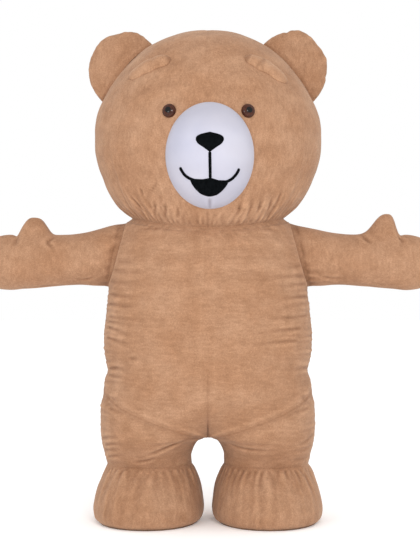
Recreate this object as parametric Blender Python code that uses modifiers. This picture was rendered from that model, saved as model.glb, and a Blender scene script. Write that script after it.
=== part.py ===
"""Bear mascot costume: a filled-out walking suit of short-pile plush, standing on its own feet.

Metres, +Z up, the bear faces -Y, and the wearer's left is +X. The origin is on the floor, under the
middle of the whole suit. Every cloth piece is a thin wall cut from one of the forms below: the head,
the trunk that divides into two legs, the arms and the feet. Neighbours share the points of a seam.
"""
import math

import bmesh
import bpy
import numpy as np
from mathutils import Matrix, Vector
from mathutils.bvhtree import BVHTree

# Driving sizes
CLOTH = 0.003
SEAM_GAP = 0.0003
PATCH_LIFT = 0.0007
DEPTH_SHIFT = 0.06225
NECK_HEIGHT = 1.41
NECK_DIP = 0.05
CROTCH_HEIGHT = 0.395
HIP_SEAM_RISE = 0.225
HIP_SEAM_POWER = 2.2
HIP_BLEND_TOP = 0.64
ANKLE_HEIGHT = 0.262
SOLE_THICK = 0.005

# Gathers: how many waves each seam draws in, and how high they stand
NECK_WAVES = 80
SIDE_WAVES = 13
THIGH_WAVES = 10
ANKLE_WAVES = 26
NECK_WAVE_HEIGHT = 0.0045
SIDE_WAVE_HEIGHT = 0.0045
ANKLE_WAVE_HEIGHT = 0.005
GATHER_START = 0.022
GATHER_END = 0.120
SIDE_WAVE_TOP = 1.075
SIDE_WAVE_END = 0.715
THIGH_WAVE_TOP = 0.585
THIGH_WAVE_END = 0.285

HEAD_FADE_FROM = 0.05
HEAD_FADE_OVER = 0.15
ANKLE_START = 0.016
ANKLE_FADE_FROM = 0.02
ANKLE_FADE_OVER = 0.08

# Lines of a trunk or head panel, as shares of the way from the centre seam to the side seam
SHARES = (0.0, 0.07, 0.22, 0.38, 0.54, 0.72, 0.88, 1.0)

# Rows of each panel: shares of the way down it, heights, or rises above the neck seam
CENTRE_DOWNS = (0.07, 0.14, 0.21, 0.28, 0.36, 0.44, 0.52, 0.60, 0.67, 0.74, 0.80, 0.86, 0.91, 0.95, 0.98)
LEG_DOWNS = (0.0, 0.1, 0.28, 0.46, 0.64, 0.82, 1.0)
SIDE_HEIGHTS = (1.03, 0.97, 0.90, 0.83, 0.765)
WAIST_HEIGHTS = (0.700, 0.685, 0.660)
ANKLE_GATHER_HEIGHTS = (0.244, 0.212)
FRONT_GATHER_RISES = (GATHER_START, 0.045)
BACK_GATHER_RISES = (GATHER_START, 0.078, GATHER_END)
ARM_REACHES = (0.520, 0.600, 0.680, 0.726, 0.750, 0.772, 0.800, 0.826, 0.852, 0.875, 0.893, 0.912, 0.950,
               0.990, 1.022, 1.048)
ARM_PLACES = (0.0, 0.16, 0.32, 0.48, 0.64, 0.78, 0.87, 0.94, 1.0)
FOOT_PLACES = 24

# Head sections from the neck seam to the crown: height, half width, depth in front, depth behind
HEAD_COLUMNS = ("z", "half", "front", "back")
HEAD = (
    (1.410, 0.367, 0.300, 0.305),
    (1.448, 0.390, 0.334, 0.335),
    (1.476, 0.414, 0.358, 0.358),
    (1.532, 0.451, 0.397, 0.392),
    (1.589, 0.484, 0.428, 0.420),
    (1.645, 0.510, 0.449, 0.440),
    (1.730, 0.529, 0.466, 0.455),
    (1.814, 0.530, 0.469, 0.458),
    (1.871, 0.523, 0.463, 0.455),
    (1.927, 0.505, 0.449, 0.445),
    (1.998, 0.470, 0.421, 0.420),
    (2.045, 0.440, 0.396, 0.398),
    (2.101, 0.399, 0.360, 0.362),
    (2.153, 0.352, 0.318, 0.320),
    (2.209, 0.283, 0.257, 0.258),
    (2.250, 0.205, 0.188, 0.189),
    (2.277, 0.118, 0.110, 0.110),
    (2.289, 0.000, 0.000, 0.000),
)

# Trunk sections from the neck seam to the crotch, and on down the outer leg
TRUNK_COLUMNS = ("z", "half", "front", "back")
TRUNK = (
    (1.440, 0.350, 0.285, 0.292),
    (1.410, 0.367, 0.300, 0.305),
    (1.360, 0.397, 0.317, 0.318),
    (1.300, 0.422, 0.333, 0.330),
    (1.240, 0.440, 0.347, 0.340),
    (1.150, 0.456, 0.364, 0.350),
    (1.025, 0.469, 0.385, 0.358),
    (0.912, 0.483, 0.400, 0.362),
    (0.855, 0.487, 0.404, 0.362),
    (0.790, 0.485, 0.403, 0.361),
    (0.743, 0.477, 0.400, 0.360),
    (0.700, 0.468, 0.396, 0.358),
    (0.658, 0.478, 0.396, 0.362),
    (0.600, 0.491, 0.396, 0.370),
    (0.545, 0.498, 0.394, 0.376),
    (0.460, 0.501, 0.385, 0.375),
    (0.395, 0.498, 0.372, 0.368),
    (0.348, 0.491, 0.360, 0.355),
    (0.300, 0.479, 0.350, 0.345),
    (0.262, 0.472, 0.340, 0.335),
)
TRUNK_ROUND = 2.15
ROUNDING_REACH = 0.15

# Leg sections: how far the inseam stands from the middle, half depth and middle of the depth
LEG_COLUMNS = ("z", "inseam", "half_depth", "middle")
LEG = (
    (0.640, 0.000, 0.372, -0.010),
    (0.500, 0.000, 0.345, -0.008),
    (0.395, 0.000, 0.300, -0.005),
    (0.383, 0.034, 0.291, -0.004),
    (0.362, 0.056, 0.276, -0.003),
    (0.335, 0.070, 0.255, -0.002),
    (0.300, 0.078, 0.226, 0.000),
    (0.262, 0.075, 0.198, 0.000),
)

# Foot sections from the ankle seam to the sole: height, middle x, half width, toe reach, heel reach
FOOT_COLUMNS = ("z", "middle", "half", "toe", "heel")
FOOT = (
    (0.2620, 0.2735, 0.1985, 0.198, 0.198),
    (0.2350, 0.2730, 0.2100, 0.222, 0.208),
    (0.2000, 0.2725, 0.2250, 0.258, 0.218),
    (0.1500, 0.2755, 0.2420, 0.300, 0.228),
    (0.1000, 0.2775, 0.2530, 0.330, 0.235),
    (0.0600, 0.2785, 0.2570, 0.342, 0.238),
    (0.0300, 0.2785, 0.2540, 0.340, 0.236),
    (0.0130, 0.2785, 0.2450, 0.330, 0.228),
    (0.0056, 0.2785, 0.2340, 0.318, 0.217),
)
FOOT_ROUND = 2.15

# Arm sections from the shoulder to the paw's tip: reach, top, bottom and half depth
ARM_COLUMNS = ("x", "top", "bottom", "half_depth")
ARM = (
    (0.470, 1.374, 1.094, 0.135),
    (0.520, 1.356, 1.098, 0.130),
    (0.590, 1.341, 1.102, 0.123),
    (0.660, 1.334, 1.100, 0.119),
    (0.730, 1.333, 1.095, 0.118),
    (0.800, 1.334, 1.090, 0.118),
    (0.870, 1.335, 1.083, 0.116),
    (0.930, 1.334, 1.077, 0.112),
    (0.985, 1.325, 1.082, 0.102),
    (1.030, 1.300, 1.105, 0.082),
    (1.056, 1.262, 1.145, 0.052),
    (1.066, 1.205, 1.205, 0.000),
)
ARMHOLE_MIDDLE = 1.241
ARMHOLE_HALF_HEIGHT = 0.151
ARMHOLE_HALF_DEPTH = 0.126
ARMHOLE_ROWS = 8
THUMB_REACH = 0.812
THUMB_HALF_WIDTH = 0.074
THUMB_HEIGHT = 0.092
THUMB_HALF_DEPTH = 0.064
THUMB_ROUND = 3.0
CREASE_REACH = 0.893
CREASE_DEPTH = 0.016
CREASE_HALF_WIDTH = 0.016

# Face
MUZZLE_MIDDLE = 0.009
MUZZLE_HEIGHT = 1.669
MUZZLE_HALF_WIDTH = 0.195
MUZZLE_HALF_HEIGHT = 0.231
MUZZLE_BULGE = 0.118
MUZZLE_ROWS = (0.0, 0.025, 0.09, 0.18, 0.30, 0.42, 0.55, 0.68, 0.80, 0.90, 0.97, 1.0)
MUZZLE_COLUMNS = 12
EYES_MIDDLE = 0.004
EYE_SPREAD = 0.172
EYE_HEIGHT = 1.863
EYE_RADIUS = 0.031
EYE_DOME = 0.019
EYE_RIM = 0.003
LINE_WIDTH = 0.013
FELT = 0.002
# distance from the muzzle's middle, top, bottom
NOSE = (
    (0.0000, 1.757, 1.670),
    (0.0170, 1.753, 1.683),
    (0.0340, 1.749, 1.695),
    (0.0510, 1.742, 1.707),
    (0.0572, 1.736, 1.717),
    (0.0596, 1.729, 1.723),
)
# place beside the muzzle's middle, height of the smile's stroke
SMILE = (
    (-0.1290, 1.6115),
    (-0.1210, 1.5960),
    (-0.1090, 1.5790),
    (-0.0880, 1.5635),
    (-0.0640, 1.5550),
    (-0.0340, 1.5530),
    (-0.0100, 1.5560),
    (0.0020, 1.5580),
    (0.0200, 1.5540),
    (0.0400, 1.5490),
    (0.0660, 1.5490),
    (0.0880, 1.5570),
    (0.1080, 1.5740),
    (0.1200, 1.5905),
    (0.1275, 1.6065),
)
SMILE_STROKE = 0.0115
# place beside the muzzle's middle, lower edge of the open mouth
MOUTH = (
    (-0.0870, 1.5600),
    (-0.0750, 1.5360),
    (-0.0580, 1.5140),
    (-0.0350, 1.4965),
    (-0.0020, 1.4875),
    (0.0270, 1.4930),
    (0.0500, 1.5080),
    (0.0690, 1.5290),
    (0.0840, 1.5540),
)
# inner end, outer end
BROWS = {"left": ((0.167, 2.119), (0.358, 2.012)), "right": ((0.166, 2.113), (0.358, 2.032))}
BROW_HALF_HEIGHT = 0.031
BROW_PAD = 0.016
BROW_ARCH = 0.012

# Ears: a round ear that the head's side seam takes in
EAR_MIDDLE = (0.388, 2.115)
EAR_RADIUS = 0.171
EAR_FLARE = 0.016
EAR_FROM = math.radians(-55)
EAR_TO = math.radians(133)
EAR_HALF_THICK = 0.062
EAR_ROWS = 11
EAR_LOW = (0.491, 1.966)
EAR_HIGH = (0.272, 2.238)
EAR_BOW = (0.007, 0.006)
EAR_LEAN = 0.7

# Zip at the centre back
ZIP_TOP = 1.385
ZIP_END = 0.640
ZIP_HEAD = 0.006
ZIP_FOOT = 0.012
ZIP_SLOT = 0.0065
ZIP_STOP = 0.001
ZIP_PROUD = 0.0004
ZIP_CHAIN_HALF = 0.005
ZIP_CHAIN_THICK = 0.0035
ZIP_TAPE_HALF = 0.019
ZIP_TAPE_THICK = 0.0012
SLIDER_LENGTH = 0.024
SLIDER_HALF_WIDTH = 0.0062
SLIDER_THICK = 0.0068
BAIL_WIRE = 0.0011
BAIL_HALF_LENGTH = 0.0055
BAIL_HEIGHT = 0.0062
PULL_PIN = 0.0012
RING_SPARE = 0.004
RING_CORNER = 0.0015
PULL_LENGTH = 0.042
PULL_HALF_WIDTH = 0.0065
PULL_THICK = 0.0020

# Colours as linear shares of red, green and blue, with roughness
PLUSH = ((0.560, 0.315, 0.180), 0.95)
WHITE_PLUSH = ((0.750, 0.750, 0.820), 0.75)
BLACK_FELT = ((0.008, 0.009, 0.010), 0.85)
EYE_BROWN = ((0.075, 0.022, 0.010), 0.10)
SOLE_CLOTH = ((0.250, 0.150, 0.090), 0.90)
ZIP_TAPE_CLOTH = ((0.420, 0.240, 0.140), 0.85)
ZIP_PLASTIC = ((0.330, 0.185, 0.105), 0.45)
ZIP_METAL = ((0.500, 0.480, 0.440), 0.30)


def curve_of(table, columns, key="z"):
    """A function giving each column of a table at a value of its key, on smooth cubic pieces."""
    rows = np.array(sorted(table, key=lambda row: row[columns.index(key)]))
    at = rows[:, columns.index(key)]
    steps = np.diff(rows, axis=0) / np.diff(at)[:, None]
    before, after = steps[:-1], steps[1:]
    same = before * after > 0
    between_steps = np.where(same, 2 * before * after / np.where(same, before + after, 1), 0)
    slopes = np.vstack([steps[:1], between_steps, steps[-1:]])

    def value(x):
        x = min(max(x, at[0]), at[-1])
        i = min(int(np.searchsorted(at, x, side="right")) - 1, len(at) - 2)
        width = at[i + 1] - at[i]
        t = (x - at[i]) / width
        found = (2 * t**3 - 3 * t**2 + 1) * rows[i] + (3 * t**2 - 2 * t**3) * rows[i + 1]
        found += ((t**3 - 2 * t**2 + t) * slopes[i] + (t**3 - t**2) * slopes[i + 1]) * width
        return dict(zip(columns, found))

    return value


def stations_of(table, columns, along, out):
    """A function giving each column at a share of the way along the profile of two of them."""
    rows = np.array(table)
    steps = np.hypot(np.diff(rows[:, columns.index(along)]), np.diff(rows[:, columns.index(out)]))
    shares = np.concatenate([[0.0], np.cumsum(steps)]) / steps.sum()
    with_share = [(share, *row) for share, row in zip(shares, table)]
    return curve_of(with_share, ("share", *columns), "share"), shares


def power(value, exponent):
    """A signed power, which rounds a section between an ellipse and a box."""
    return math.copysign(abs(value) ** exponent, value)


def ease(value):
    """A smooth step from 0 to 1."""
    value = min(max(value, 0.0), 1.0)
    return value * value * (3 - 2 * value)


TRUNK_AT = curve_of(TRUNK, TRUNK_COLUMNS)
LEG_AT = curve_of(LEG, LEG_COLUMNS)
FOOT_AT = curve_of(FOOT, FOOT_COLUMNS)
NOSE_AT = curve_of(NOSE, ("x", "top", "bottom"), "x")
SMILE_AT = curve_of(SMILE, ("x", "z"), "x")
MOUTH_AT = curve_of(MOUTH, ("x", "z"), "x")
ARM_AT, ARM_SHARES = stations_of(ARM, ARM_COLUMNS, "x", "top")
HEAD_AT, HEAD_SHARES = stations_of(HEAD, HEAD_COLUMNS, "z", "half")


def neck_dip(around, height, fade):
    """How far the neck seam drops in front, and how that fades away from it."""
    front = max(0.0, math.cos(math.pi * around)) ** 2
    return NECK_DIP * front * (1 - ease(abs(height - NECK_HEIGHT) / fade))


def head_point(around, share):
    """The head: around is 0 at the centre front, 0.5 at the side and 1 at the centre back."""
    section = HEAD_AT(share)
    angle = math.pi * around
    depth = section["front"] if math.cos(angle) > 0 else section["back"]
    height = section["z"] - neck_dip(around, section["z"], 0.20)
    return Vector((section["half"] * math.sin(angle), -depth * math.cos(angle), height))


def hip_seam_height(around):
    """The seam between trunk and leg: at the crotch in the middle and high on the hip at the side."""
    return CROTCH_HEIGHT + HIP_SEAM_RISE * abs(math.sin(math.pi * around)) ** HIP_SEAM_POWER


def trunk_section(around, height):
    """A point of half the trunk, which turns into a leg's round section below the hips."""
    trunk, leg = TRUNK_AT(height), LEG_AT(height)
    angle = math.pi * around
    depth = trunk["front"] if math.cos(angle) > 0 else trunk["back"]
    rounding = 2 / (2 + (TRUNK_ROUND - 2) * ease((NECK_HEIGHT - height) / ROUNDING_REACH))
    trunk_x = trunk["half"] * power(math.sin(angle), rounding)
    trunk_y = -depth * power(math.cos(angle), rounding)
    half = (trunk["half"] - leg["inseam"]) / 2
    leg_x = leg["inseam"] + half - half * math.cos(2 * angle)
    leg_y = leg["middle"] - leg["half_depth"] * math.sin(2 * angle)
    q = min(max((HIP_BLEND_TOP - height) / (HIP_BLEND_TOP - CROTCH_HEIGHT), 0.0), 1.0)
    under, over = 1 - math.sqrt(1 - q * q), ease(q)
    blend_y = under + (over - under) * math.sin(angle) ** 2
    return trunk_x + (leg_x - trunk_x) * over, trunk_y + (leg_y - trunk_y) * blend_y


def body_point(around, height):
    """Half the body, from the neck seam down to the ankle."""
    return Vector((*trunk_section(around, height), height - neck_dip(around, height, 0.30)))


def body_normal(around, height, step=0.002):
    """The outward direction there, straight down where the seams meet at the crotch."""
    if abs(height - CROTCH_HEIGHT) < 1e-9 and around in (0.0, 1.0):
        return Vector((0, 0, -1))
    across = body_point(around + step, height) - body_point(around - step, height)
    upwards = body_point(around, height + step) - body_point(around, height - step)
    return across.cross(upwards).normalized()


def trunk_height(around, down):
    """Height on the trunk: down is 0 at the neck seam and 1 at the hip seam."""
    return NECK_HEIGHT + (hip_seam_height(around) - NECK_HEIGHT) * down


def trunk_point(around, down):
    return body_point(around, trunk_height(around, down))


def leg_height(around, down):
    """Height on a leg: down is 0 at the hip seam and 1 at the ankle seam."""
    top = hip_seam_height(around)
    return top + (ANKLE_HEIGHT - top) * down


def foot_point(around, down):
    """A foot: down is 0 at the ankle seam and 1 at the sole; around is 0 at the inner side."""
    section = FOOT_AT(FOOT[0][0] + (FOOT[-1][0] - FOOT[0][0]) * down)
    angle = 2 * math.pi * around
    reach = section["toe"] if math.sin(angle) > 0 else section["heel"]
    rounding = 2 / (2 + (FOOT_ROUND - 2) * ease(down * 4))
    x = section["middle"] - section["half"] * power(math.cos(angle), rounding)
    return Vector((x, -reach * power(math.sin(angle), rounding), section["z"]))


def arm_point(around, share):
    """An arm with its paw and thumb: around is 0 at the lower seam, 0.5 in front and 1 at the top."""
    section = ARM_AT(share)
    angle = math.pi * around
    middle, half = (section["top"] + section["bottom"]) / 2, (section["top"] - section["bottom"]) / 2
    y = -section["half_depth"] * math.sin(angle)
    z = middle - half * math.cos(angle)
    if around > 0.4:
        along = abs(section["x"] - THUMB_REACH) / THUMB_HALF_WIDTH
        across = abs(y) / THUMB_HALF_DEPTH
        dent = (section["x"] - CREASE_REACH) / CREASE_HALF_WIDTH
        z += THUMB_HEIGHT * math.exp(-along**THUMB_ROUND) * math.exp(-across**THUMB_ROUND)
        z -= CREASE_DEPTH * math.exp(-dent * dent) * math.cos(angle) ** 2
    return Vector((section["x"], y, z))


def normal_of(form, u, v, step=0.002):
    """The outward direction of a form, from its neighbouring points."""
    across = form(u + step, v) - form(u - step, v)
    low, high = max(v - step, 0.0), min(v + step, 1.0)
    found = across.cross(form(u, high) - form(u, low))
    return found.normalized() if found.length > 1e-12 else Vector((0, 0, 1))


def shifted(point):
    return Vector((point.x, point.y + DEPTH_SHIFT, point.z))


def material(name, colour, roughness, metallic=0.0):
    made = bpy.data.materials.new(name)
    made.use_nodes = True
    shader = made.node_tree.nodes["Principled BSDF"]
    shader.inputs["Base Color"].default_value = (*colour, 1.0)
    shader.inputs["Roughness"].default_value = roughness
    shader.inputs["Metallic"].default_value = metallic
    made.diffuse_color = (*colour, 1.0)
    return made


def add_object(name, mesh, finish):
    made = bpy.data.objects.new(name, mesh)
    PARTS.objects.link(made)
    mesh.materials.append(finish)
    return made


def stitched(first, second):
    """Triangles between two lines of (share, vertex) points that may differ in number."""
    faces, i, j = [], 0, 0
    while i < len(first) - 1 or j < len(second) - 1:
        next_first = first[i + 1][0] if i < len(first) - 1 else math.inf
        next_second = second[j + 1][0] if j < len(second) - 1 else math.inf
        if next_first <= next_second:
            faces.append((first[i][1], first[i + 1][1], second[j][1]))
            i += 1
        else:
            faces.append((first[i][1], second[j + 1][1], second[j][1]))
            j += 1
    return [face for face in faces if len(set(face)) == 3]


def rim_shift(points, normals, loop, gap, towards):
    """How each point of a panel's edge moves into the panel, so that a seam stays open by its gap."""
    shifts, count = {}, len(loop)
    for k, i in enumerate(loop):
        before = (points[i] - points[loop[k - 1]]).normalized()
        after = (points[loop[(k + 1) % count]] - points[i]).normalized()
        one, two = normals[i].cross(before).normalized(), normals[i].cross(after).normalized()
        shifts[i] = (one + two) / max(1 + one.dot(two), 0.35) * gap[k]
    inward = sum(shifts[i].dot(towards - points[i]) for i in loop)
    return shifts if inward > 0 else {i: -shift for i, shift in shifts.items()}


def between(low, high, count):
    return [low + (high - low) * k / count for k in range(count + 1)]


def middle_of(points):
    return sum(points, Vector()) / len(points)


def add_wall(name, lines, side, finish, gaps=None, ring=False):
    """A cloth wall through lines of (share, point, normal), with its thickness on the inner side.

    gaps gives a half gap for each point of the first line, where it isn't the usual seam.
    """
    points, normals, index, known = [], [], [], {}
    for line in lines:
        row = []
        for share, point, normal in line:
            key = tuple(round(c, 6) for c in point)
            if key not in known:
                known[key] = len(points)
                points.append(Vector(point))
                normals.append(Vector(normal))
            row.append((share, known[key]))
        index.append(row)
    if ring:
        loops = [[i for _, i in index[0][:-1]], [i for _, i in index[-1][:-1]]]
        inside = [middle_of([points[i] for _, i in index[k]]) for k in (1, -2)]
    else:
        walk = [i for _, i in index[0]] + [row[-1][1] for row in index[1:-1]]
        walk += [i for _, i in reversed(index[-1])] + [row[0][1] for row in reversed(index[1:-1])]
        loops = [[i for k, i in enumerate(walk) if i != walk[k - 1]]]
        inside = [middle_of(points)]
    outer = [point.copy() for point in points]
    inner = [point - normal * CLOTH for point, normal in zip(points, normals)]
    given = {} if gaps is None else {i: gap for (_, i), gap in zip(index[0], gaps)}
    for loop, towards in zip(loops, inside):
        half_gaps = [given.get(i, SEAM_GAP / 2) for i in loop]
        for i, shift in rim_shift(points, normals, loop, half_gaps, towards).items():
            outer[i] += shift
            inner[i] += shift
    faces = []
    for first, second in zip(index, index[1:]):
        faces += stitched(first, second)
    count = len(points)
    walls = faces + [tuple(i + count for i in reversed(face)) for face in faces]
    edges = {(face[k - 1], face[k]) for face in faces for k in range(3)}
    walls += [(b, a, a + count, b + count) for a, b in edges if (b, a) not in edges]
    mesh = bpy.data.meshes.new(name)
    mesh.from_pydata([(p.x * side, p.y + DEPTH_SHIFT, p.z) for p in outer + inner], [], walls)
    sheet = bmesh.new()
    sheet.from_mesh(mesh)
    bmesh.ops.recalc_face_normals(sheet, faces=sheet.faces)
    sheet.to_mesh(mesh)
    sheet.free()
    mesh.shade_smooth()
    mesh.set_sharp_from_angle(angle=math.radians(50))
    return add_object(name, mesh, finish)


def wave(count, share, height):
    """Height of a gather at a share of its panel, crest and trough in turn, uneven along the seam."""
    uneven = 0.75 + 0.25 * math.sin(7.3 * share + 0.6) * math.cos(17.9 * share)
    return height * uneven * math.cos(2 * math.pi * count * share)


def head_row(share, low, columns, gathered, back):
    """One row of a head panel from a place around, in front or behind, to its side seam."""
    rise = HEAD_AT(share)["z"] - NECK_HEIGHT
    strength = ease(rise / GATHER_START) * (1 - ease((rise - HEAD_FADE_FROM) / HEAD_FADE_OVER))
    if gathered:
        places = [low, *[place for place in columns if place > low + 0.4 / len(columns)]]
    else:
        places = [low + (1 - low) * place for place in columns]
    row = []
    for place in places:
        around = 1 - place / 2 if back else place / 2
        point, normal = head_point(around, share), normal_of(head_point, around, share)
        if share >= 1:
            normal = Vector((0, 0, 1))
        if abs(point.x) < 1e-9:
            normal = Vector((0, normal.y, normal.z)).normalized()
        inside = gathered and low < place < 1
        lift = wave(NECK_WAVES / 4, place, NECK_WAVE_HEIGHT) * strength if inside else 0.0
        row.append((place, point + normal * lift, normal))
    return row


def muzzle_reach(point, side=1):
    """1 on the muzzle's oval, less inside it."""
    beside = (point.x * side - MUZZLE_MIDDLE) / MUZZLE_HALF_WIDTH
    return math.hypot(beside, (point.z - MUZZLE_HEIGHT) / MUZZLE_HALF_HEIGHT)


def muzzle_edge(share, side):
    """How far around the muzzle's oval reaches at a row of the head, or 0 outside it."""

    def outside(around):
        return muzzle_reach(head_point(around, share), side) > 1

    if outside(0.0):
        return 0.0
    low, high = 0.0, 0.4
    for _ in range(40):
        middle = (low + high) / 2
        low, high = (low, middle) if outside(middle) else (middle, high)
    return low


def share_at_height(height, around=0.0):
    """The row of the head whose point at that place around lies at a height."""
    low, high = 0.0, 1.0
    for _ in range(50):
        middle = (low + high) / 2
        low, high = (middle, high) if head_point(around, middle).z < height else (low, middle)
    return low


def muzzle_point(around, share):
    """The muzzle: the head's form pushed forward into a dome."""
    point = head_point(around, share)
    point.y -= MUZZLE_BULGE * max(0.0, 1 - muzzle_reach(point) ** 2.2) ** 0.62
    return point


def muzzle_shares():
    """Rows of the head that cross the muzzle, closer together at its top and bottom."""
    bottom = share_at_height(MUZZLE_HEIGHT - MUZZLE_HALF_HEIGHT)
    top = share_at_height(MUZZLE_HEIGHT + MUZZLE_HALF_HEIGHT)
    return [bottom + (top - bottom) * share for share in MUZZLE_ROWS]


def add_head(finish):
    """Four quarters that meet at the crown, gathered into the neck seam; the front two leave out the
    muzzle's oval."""
    crown = [s for s in HEAD_SHARES if HEAD_AT(s)["z"] > MUZZLE_HEIGHT + MUZZLE_HALF_HEIGHT + 0.02]
    fine = [k * 2 / NECK_WAVES for k in range(NECK_WAVES // 2 + 1)]
    muzzle = muzzle_shares()
    for back in (False, True):
        rises = BACK_GATHER_RISES if back else FRONT_GATHER_RISES
        gathered = [share_at_height(NECK_HEIGHT + rise, 0.5) for rise in rises]
        middle = muzzle[4:-1:2] if back else muzzle
        for word, side in (("left", 1), ("right", -1)):
            lines = []
            for share in sorted({0.0, *gathered, *middle, *crown}):
                rise = HEAD_AT(share)["z"] - NECK_HEIGHT
                gathers = 0 < rise < GATHER_END + 0.001
                crosses = muzzle[0] < share < muzzle[-1] and not back
                low = 2 * muzzle_edge(share, side) if crosses else 0.0
                lines.append(head_row(share, low, fine if gathers else SHARES, gathers, back))
            add_wall(f"head_{'back' if back else 'front'}_{word}", lines, side, finish)


def add_muzzle(finish):
    """One white piece set into the face."""
    lines, shares = [], muzzle_shares()
    for share in shares:
        ends = share in (shares[0], shares[-1])
        row = []
        for k in range(MUZZLE_COLUMNS + 1):
            place = -math.cos(math.pi * k / MUZZLE_COLUMNS)
            around = 0.0 if ends else place * muzzle_edge(share, 1 if place > 0 else -1)
            at_edge = k in (0, MUZZLE_COLUMNS) or ends
            form = head_point if at_edge else muzzle_point
            normal = normal_of(form, around, share)
            if at_edge and abs(around) < 1e-9:
                normal = Vector((0, normal.y, normal.z)).normalized()
            row.append(((place + 1) / 2, form(around, share), normal))
        lines.append(row)
    add_wall("muzzle", lines, 1, finish)


def armhole_edge(down):
    """The share of the way to the side seam at which the armhole starts, or 1 clear of it."""
    height = trunk_point(0.5, down).z
    level = (height - ARMHOLE_MIDDLE) / ARMHOLE_HALF_HEIGHT
    if abs(level) >= 1:
        return 0.5
    depth = ARMHOLE_HALF_DEPTH * math.sqrt(1 - level * level)
    low, high = 0.25, 0.5
    for _ in range(40):
        middle = (low + high) / 2
        low, high = (middle, high) if -trunk_point(middle, down).y > depth else (low, middle)
    return high


def down_at(height):
    """How far down the trunk a height at its side lies."""
    return (NECK_HEIGHT - height) / (NECK_HEIGHT - hip_seam_height(0.5))


def armhole_downs():
    """Rows that go round the armhole, from its top to its bottom."""
    steps = [math.cos(math.pi * k / ARMHOLE_ROWS) for k in range(ARMHOLE_ROWS + 1)]
    return [down_at(ARMHOLE_MIDDLE + ARMHOLE_HALF_HEIGHT * step) for step in steps]


def side_wave(height, share):
    """Gathers of the side seam: waves that run in from the seam and fade before the panel's middle."""
    strength = ease((1 - share) / 0.09) * ease((share - 0.42) / 0.33)
    if SIDE_WAVE_END < height < SIDE_WAVE_TOP:
        place = (SIDE_WAVE_TOP - height) / (SIDE_WAVE_TOP - SIDE_WAVE_END)
        return wave(SIDE_WAVES, place, SIDE_WAVE_HEIGHT) * strength * ease(min(place, 1 - place) * 16)
    if THIGH_WAVE_END < height < THIGH_WAVE_TOP:
        place = (THIGH_WAVE_TOP - height) / (THIGH_WAVE_TOP - THIGH_WAVE_END)
        return wave(THIGH_WAVES, place, SIDE_WAVE_HEIGHT) * strength * ease(min(place, 1 - place) * 14)
    return 0.0


def wave_heights(top, end, count):
    """A row on each crest and each trough."""
    return [top - (top - end) * k / (2 * count) for k in range(2 * count + 1)]


def torso_line(share, downs, back):
    """One line down a trunk panel, at a share of the way from its centre seam to its side edge."""
    line = []
    for down in downs:
        edge = armhole_edge(down)
        around = edge * share
        around = 1 - around if back else around
        point, normal = trunk_point(around, down), body_normal(around, trunk_height(around, down))
        if share == 0:
            point.x, normal = 0.0, Vector((0, normal.y, normal.z)).normalized()
        line.append((down, point + normal * side_wave(point.z, share), normal))
    return line


def zip_half_gap(height):
    """Half the width between the back's edges: a slot for the zip's chain, closing below it."""
    open_share = ease((height - ZIP_END) / ZIP_FOOT) * ease((ZIP_TOP + ZIP_HEAD - height) / ZIP_HEAD)
    return SEAM_GAP / 2 + (ZIP_SLOT - SEAM_GAP / 2) * open_share


def back_downs():
    """Rows of the centre back, with two at each end of the zip's slot."""
    ends = []
    for height in (ZIP_TOP + ZIP_HEAD, ZIP_TOP, ZIP_END + ZIP_FOOT, ZIP_END):
        low, high = 0.0, 1.0
        for _ in range(50):
            middle = (low + high) / 2
            low, high = (middle, high) if trunk_point(1.0, middle).z > height else (low, middle)
        ends.append(low)
    return tuple(sorted([0.0, *CENTRE_DOWNS, *ends, 1.0]))


def add_torso(finish):
    """Two fronts and two backs, with the armholes in their side edges."""
    armhole = armhole_downs()
    low_side = [down_at(h) for h in wave_heights(SIDE_WAVE_TOP, SIDE_WAVE_END, SIDE_WAVES)]
    below = [down_at(height) for height in WAIST_HEIGHTS]
    plain_side = [0.0, *armhole, *[down_at(height) for height in SIDE_HEIGHTS], *below, 1.0]
    for back in (False, True):
        centre = back_downs() if back else (0.0, *CENTRE_DOWNS, 1.0)
        lines = []
        for share in SHARES:
            if share < 0.1:
                downs = centre
            elif share < 0.6:
                downs = (0.0, *CENTRE_DOWNS, 1.0)
            elif share == 1.0:
                downs = plain_side
            else:
                downs = [0.0, *armhole[1:-1], *low_side, *below, 1.0]
            lines.append(torso_line(share, downs, back))
        gaps = None
        if back:
            gaps = [zip_half_gap(point.z) for _, point, _ in lines[0]]
        for word, side in (("left", 1), ("right", -1)):
            add_wall(f"torso_{'back' if back else 'front'}_{word}", lines, side, finish, gaps)


def add_legs(finish):
    """A front and a back for each leg, between the hip seam and the ankle seam."""
    for back in (False, True):
        lines = []
        for share in SHARES:
            around = 1 - share / 2 if back else share / 2
            downs = LEG_DOWNS
            if 0.6 < share < 1:
                top = hip_seam_height(around)
                heights = wave_heights(THIGH_WAVE_TOP, THIGH_WAVE_END, THIGH_WAVES)
                downs = [0.0, *[(top - h) / (top - ANKLE_HEIGHT) for h in heights if h < top - 0.012], 1.0]
            line = []
            for down in downs:
                height = leg_height(around, down)
                point, normal = body_point(around, height), body_normal(around, height)
                line.append((down, point + normal * side_wave(point.z, share), normal))
            lines.append(line)
        for word, side in (("left", 1), ("right", -1)):
            add_wall(f"leg_{'back' if back else 'front'}_{word}", lines, side, finish)


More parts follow.
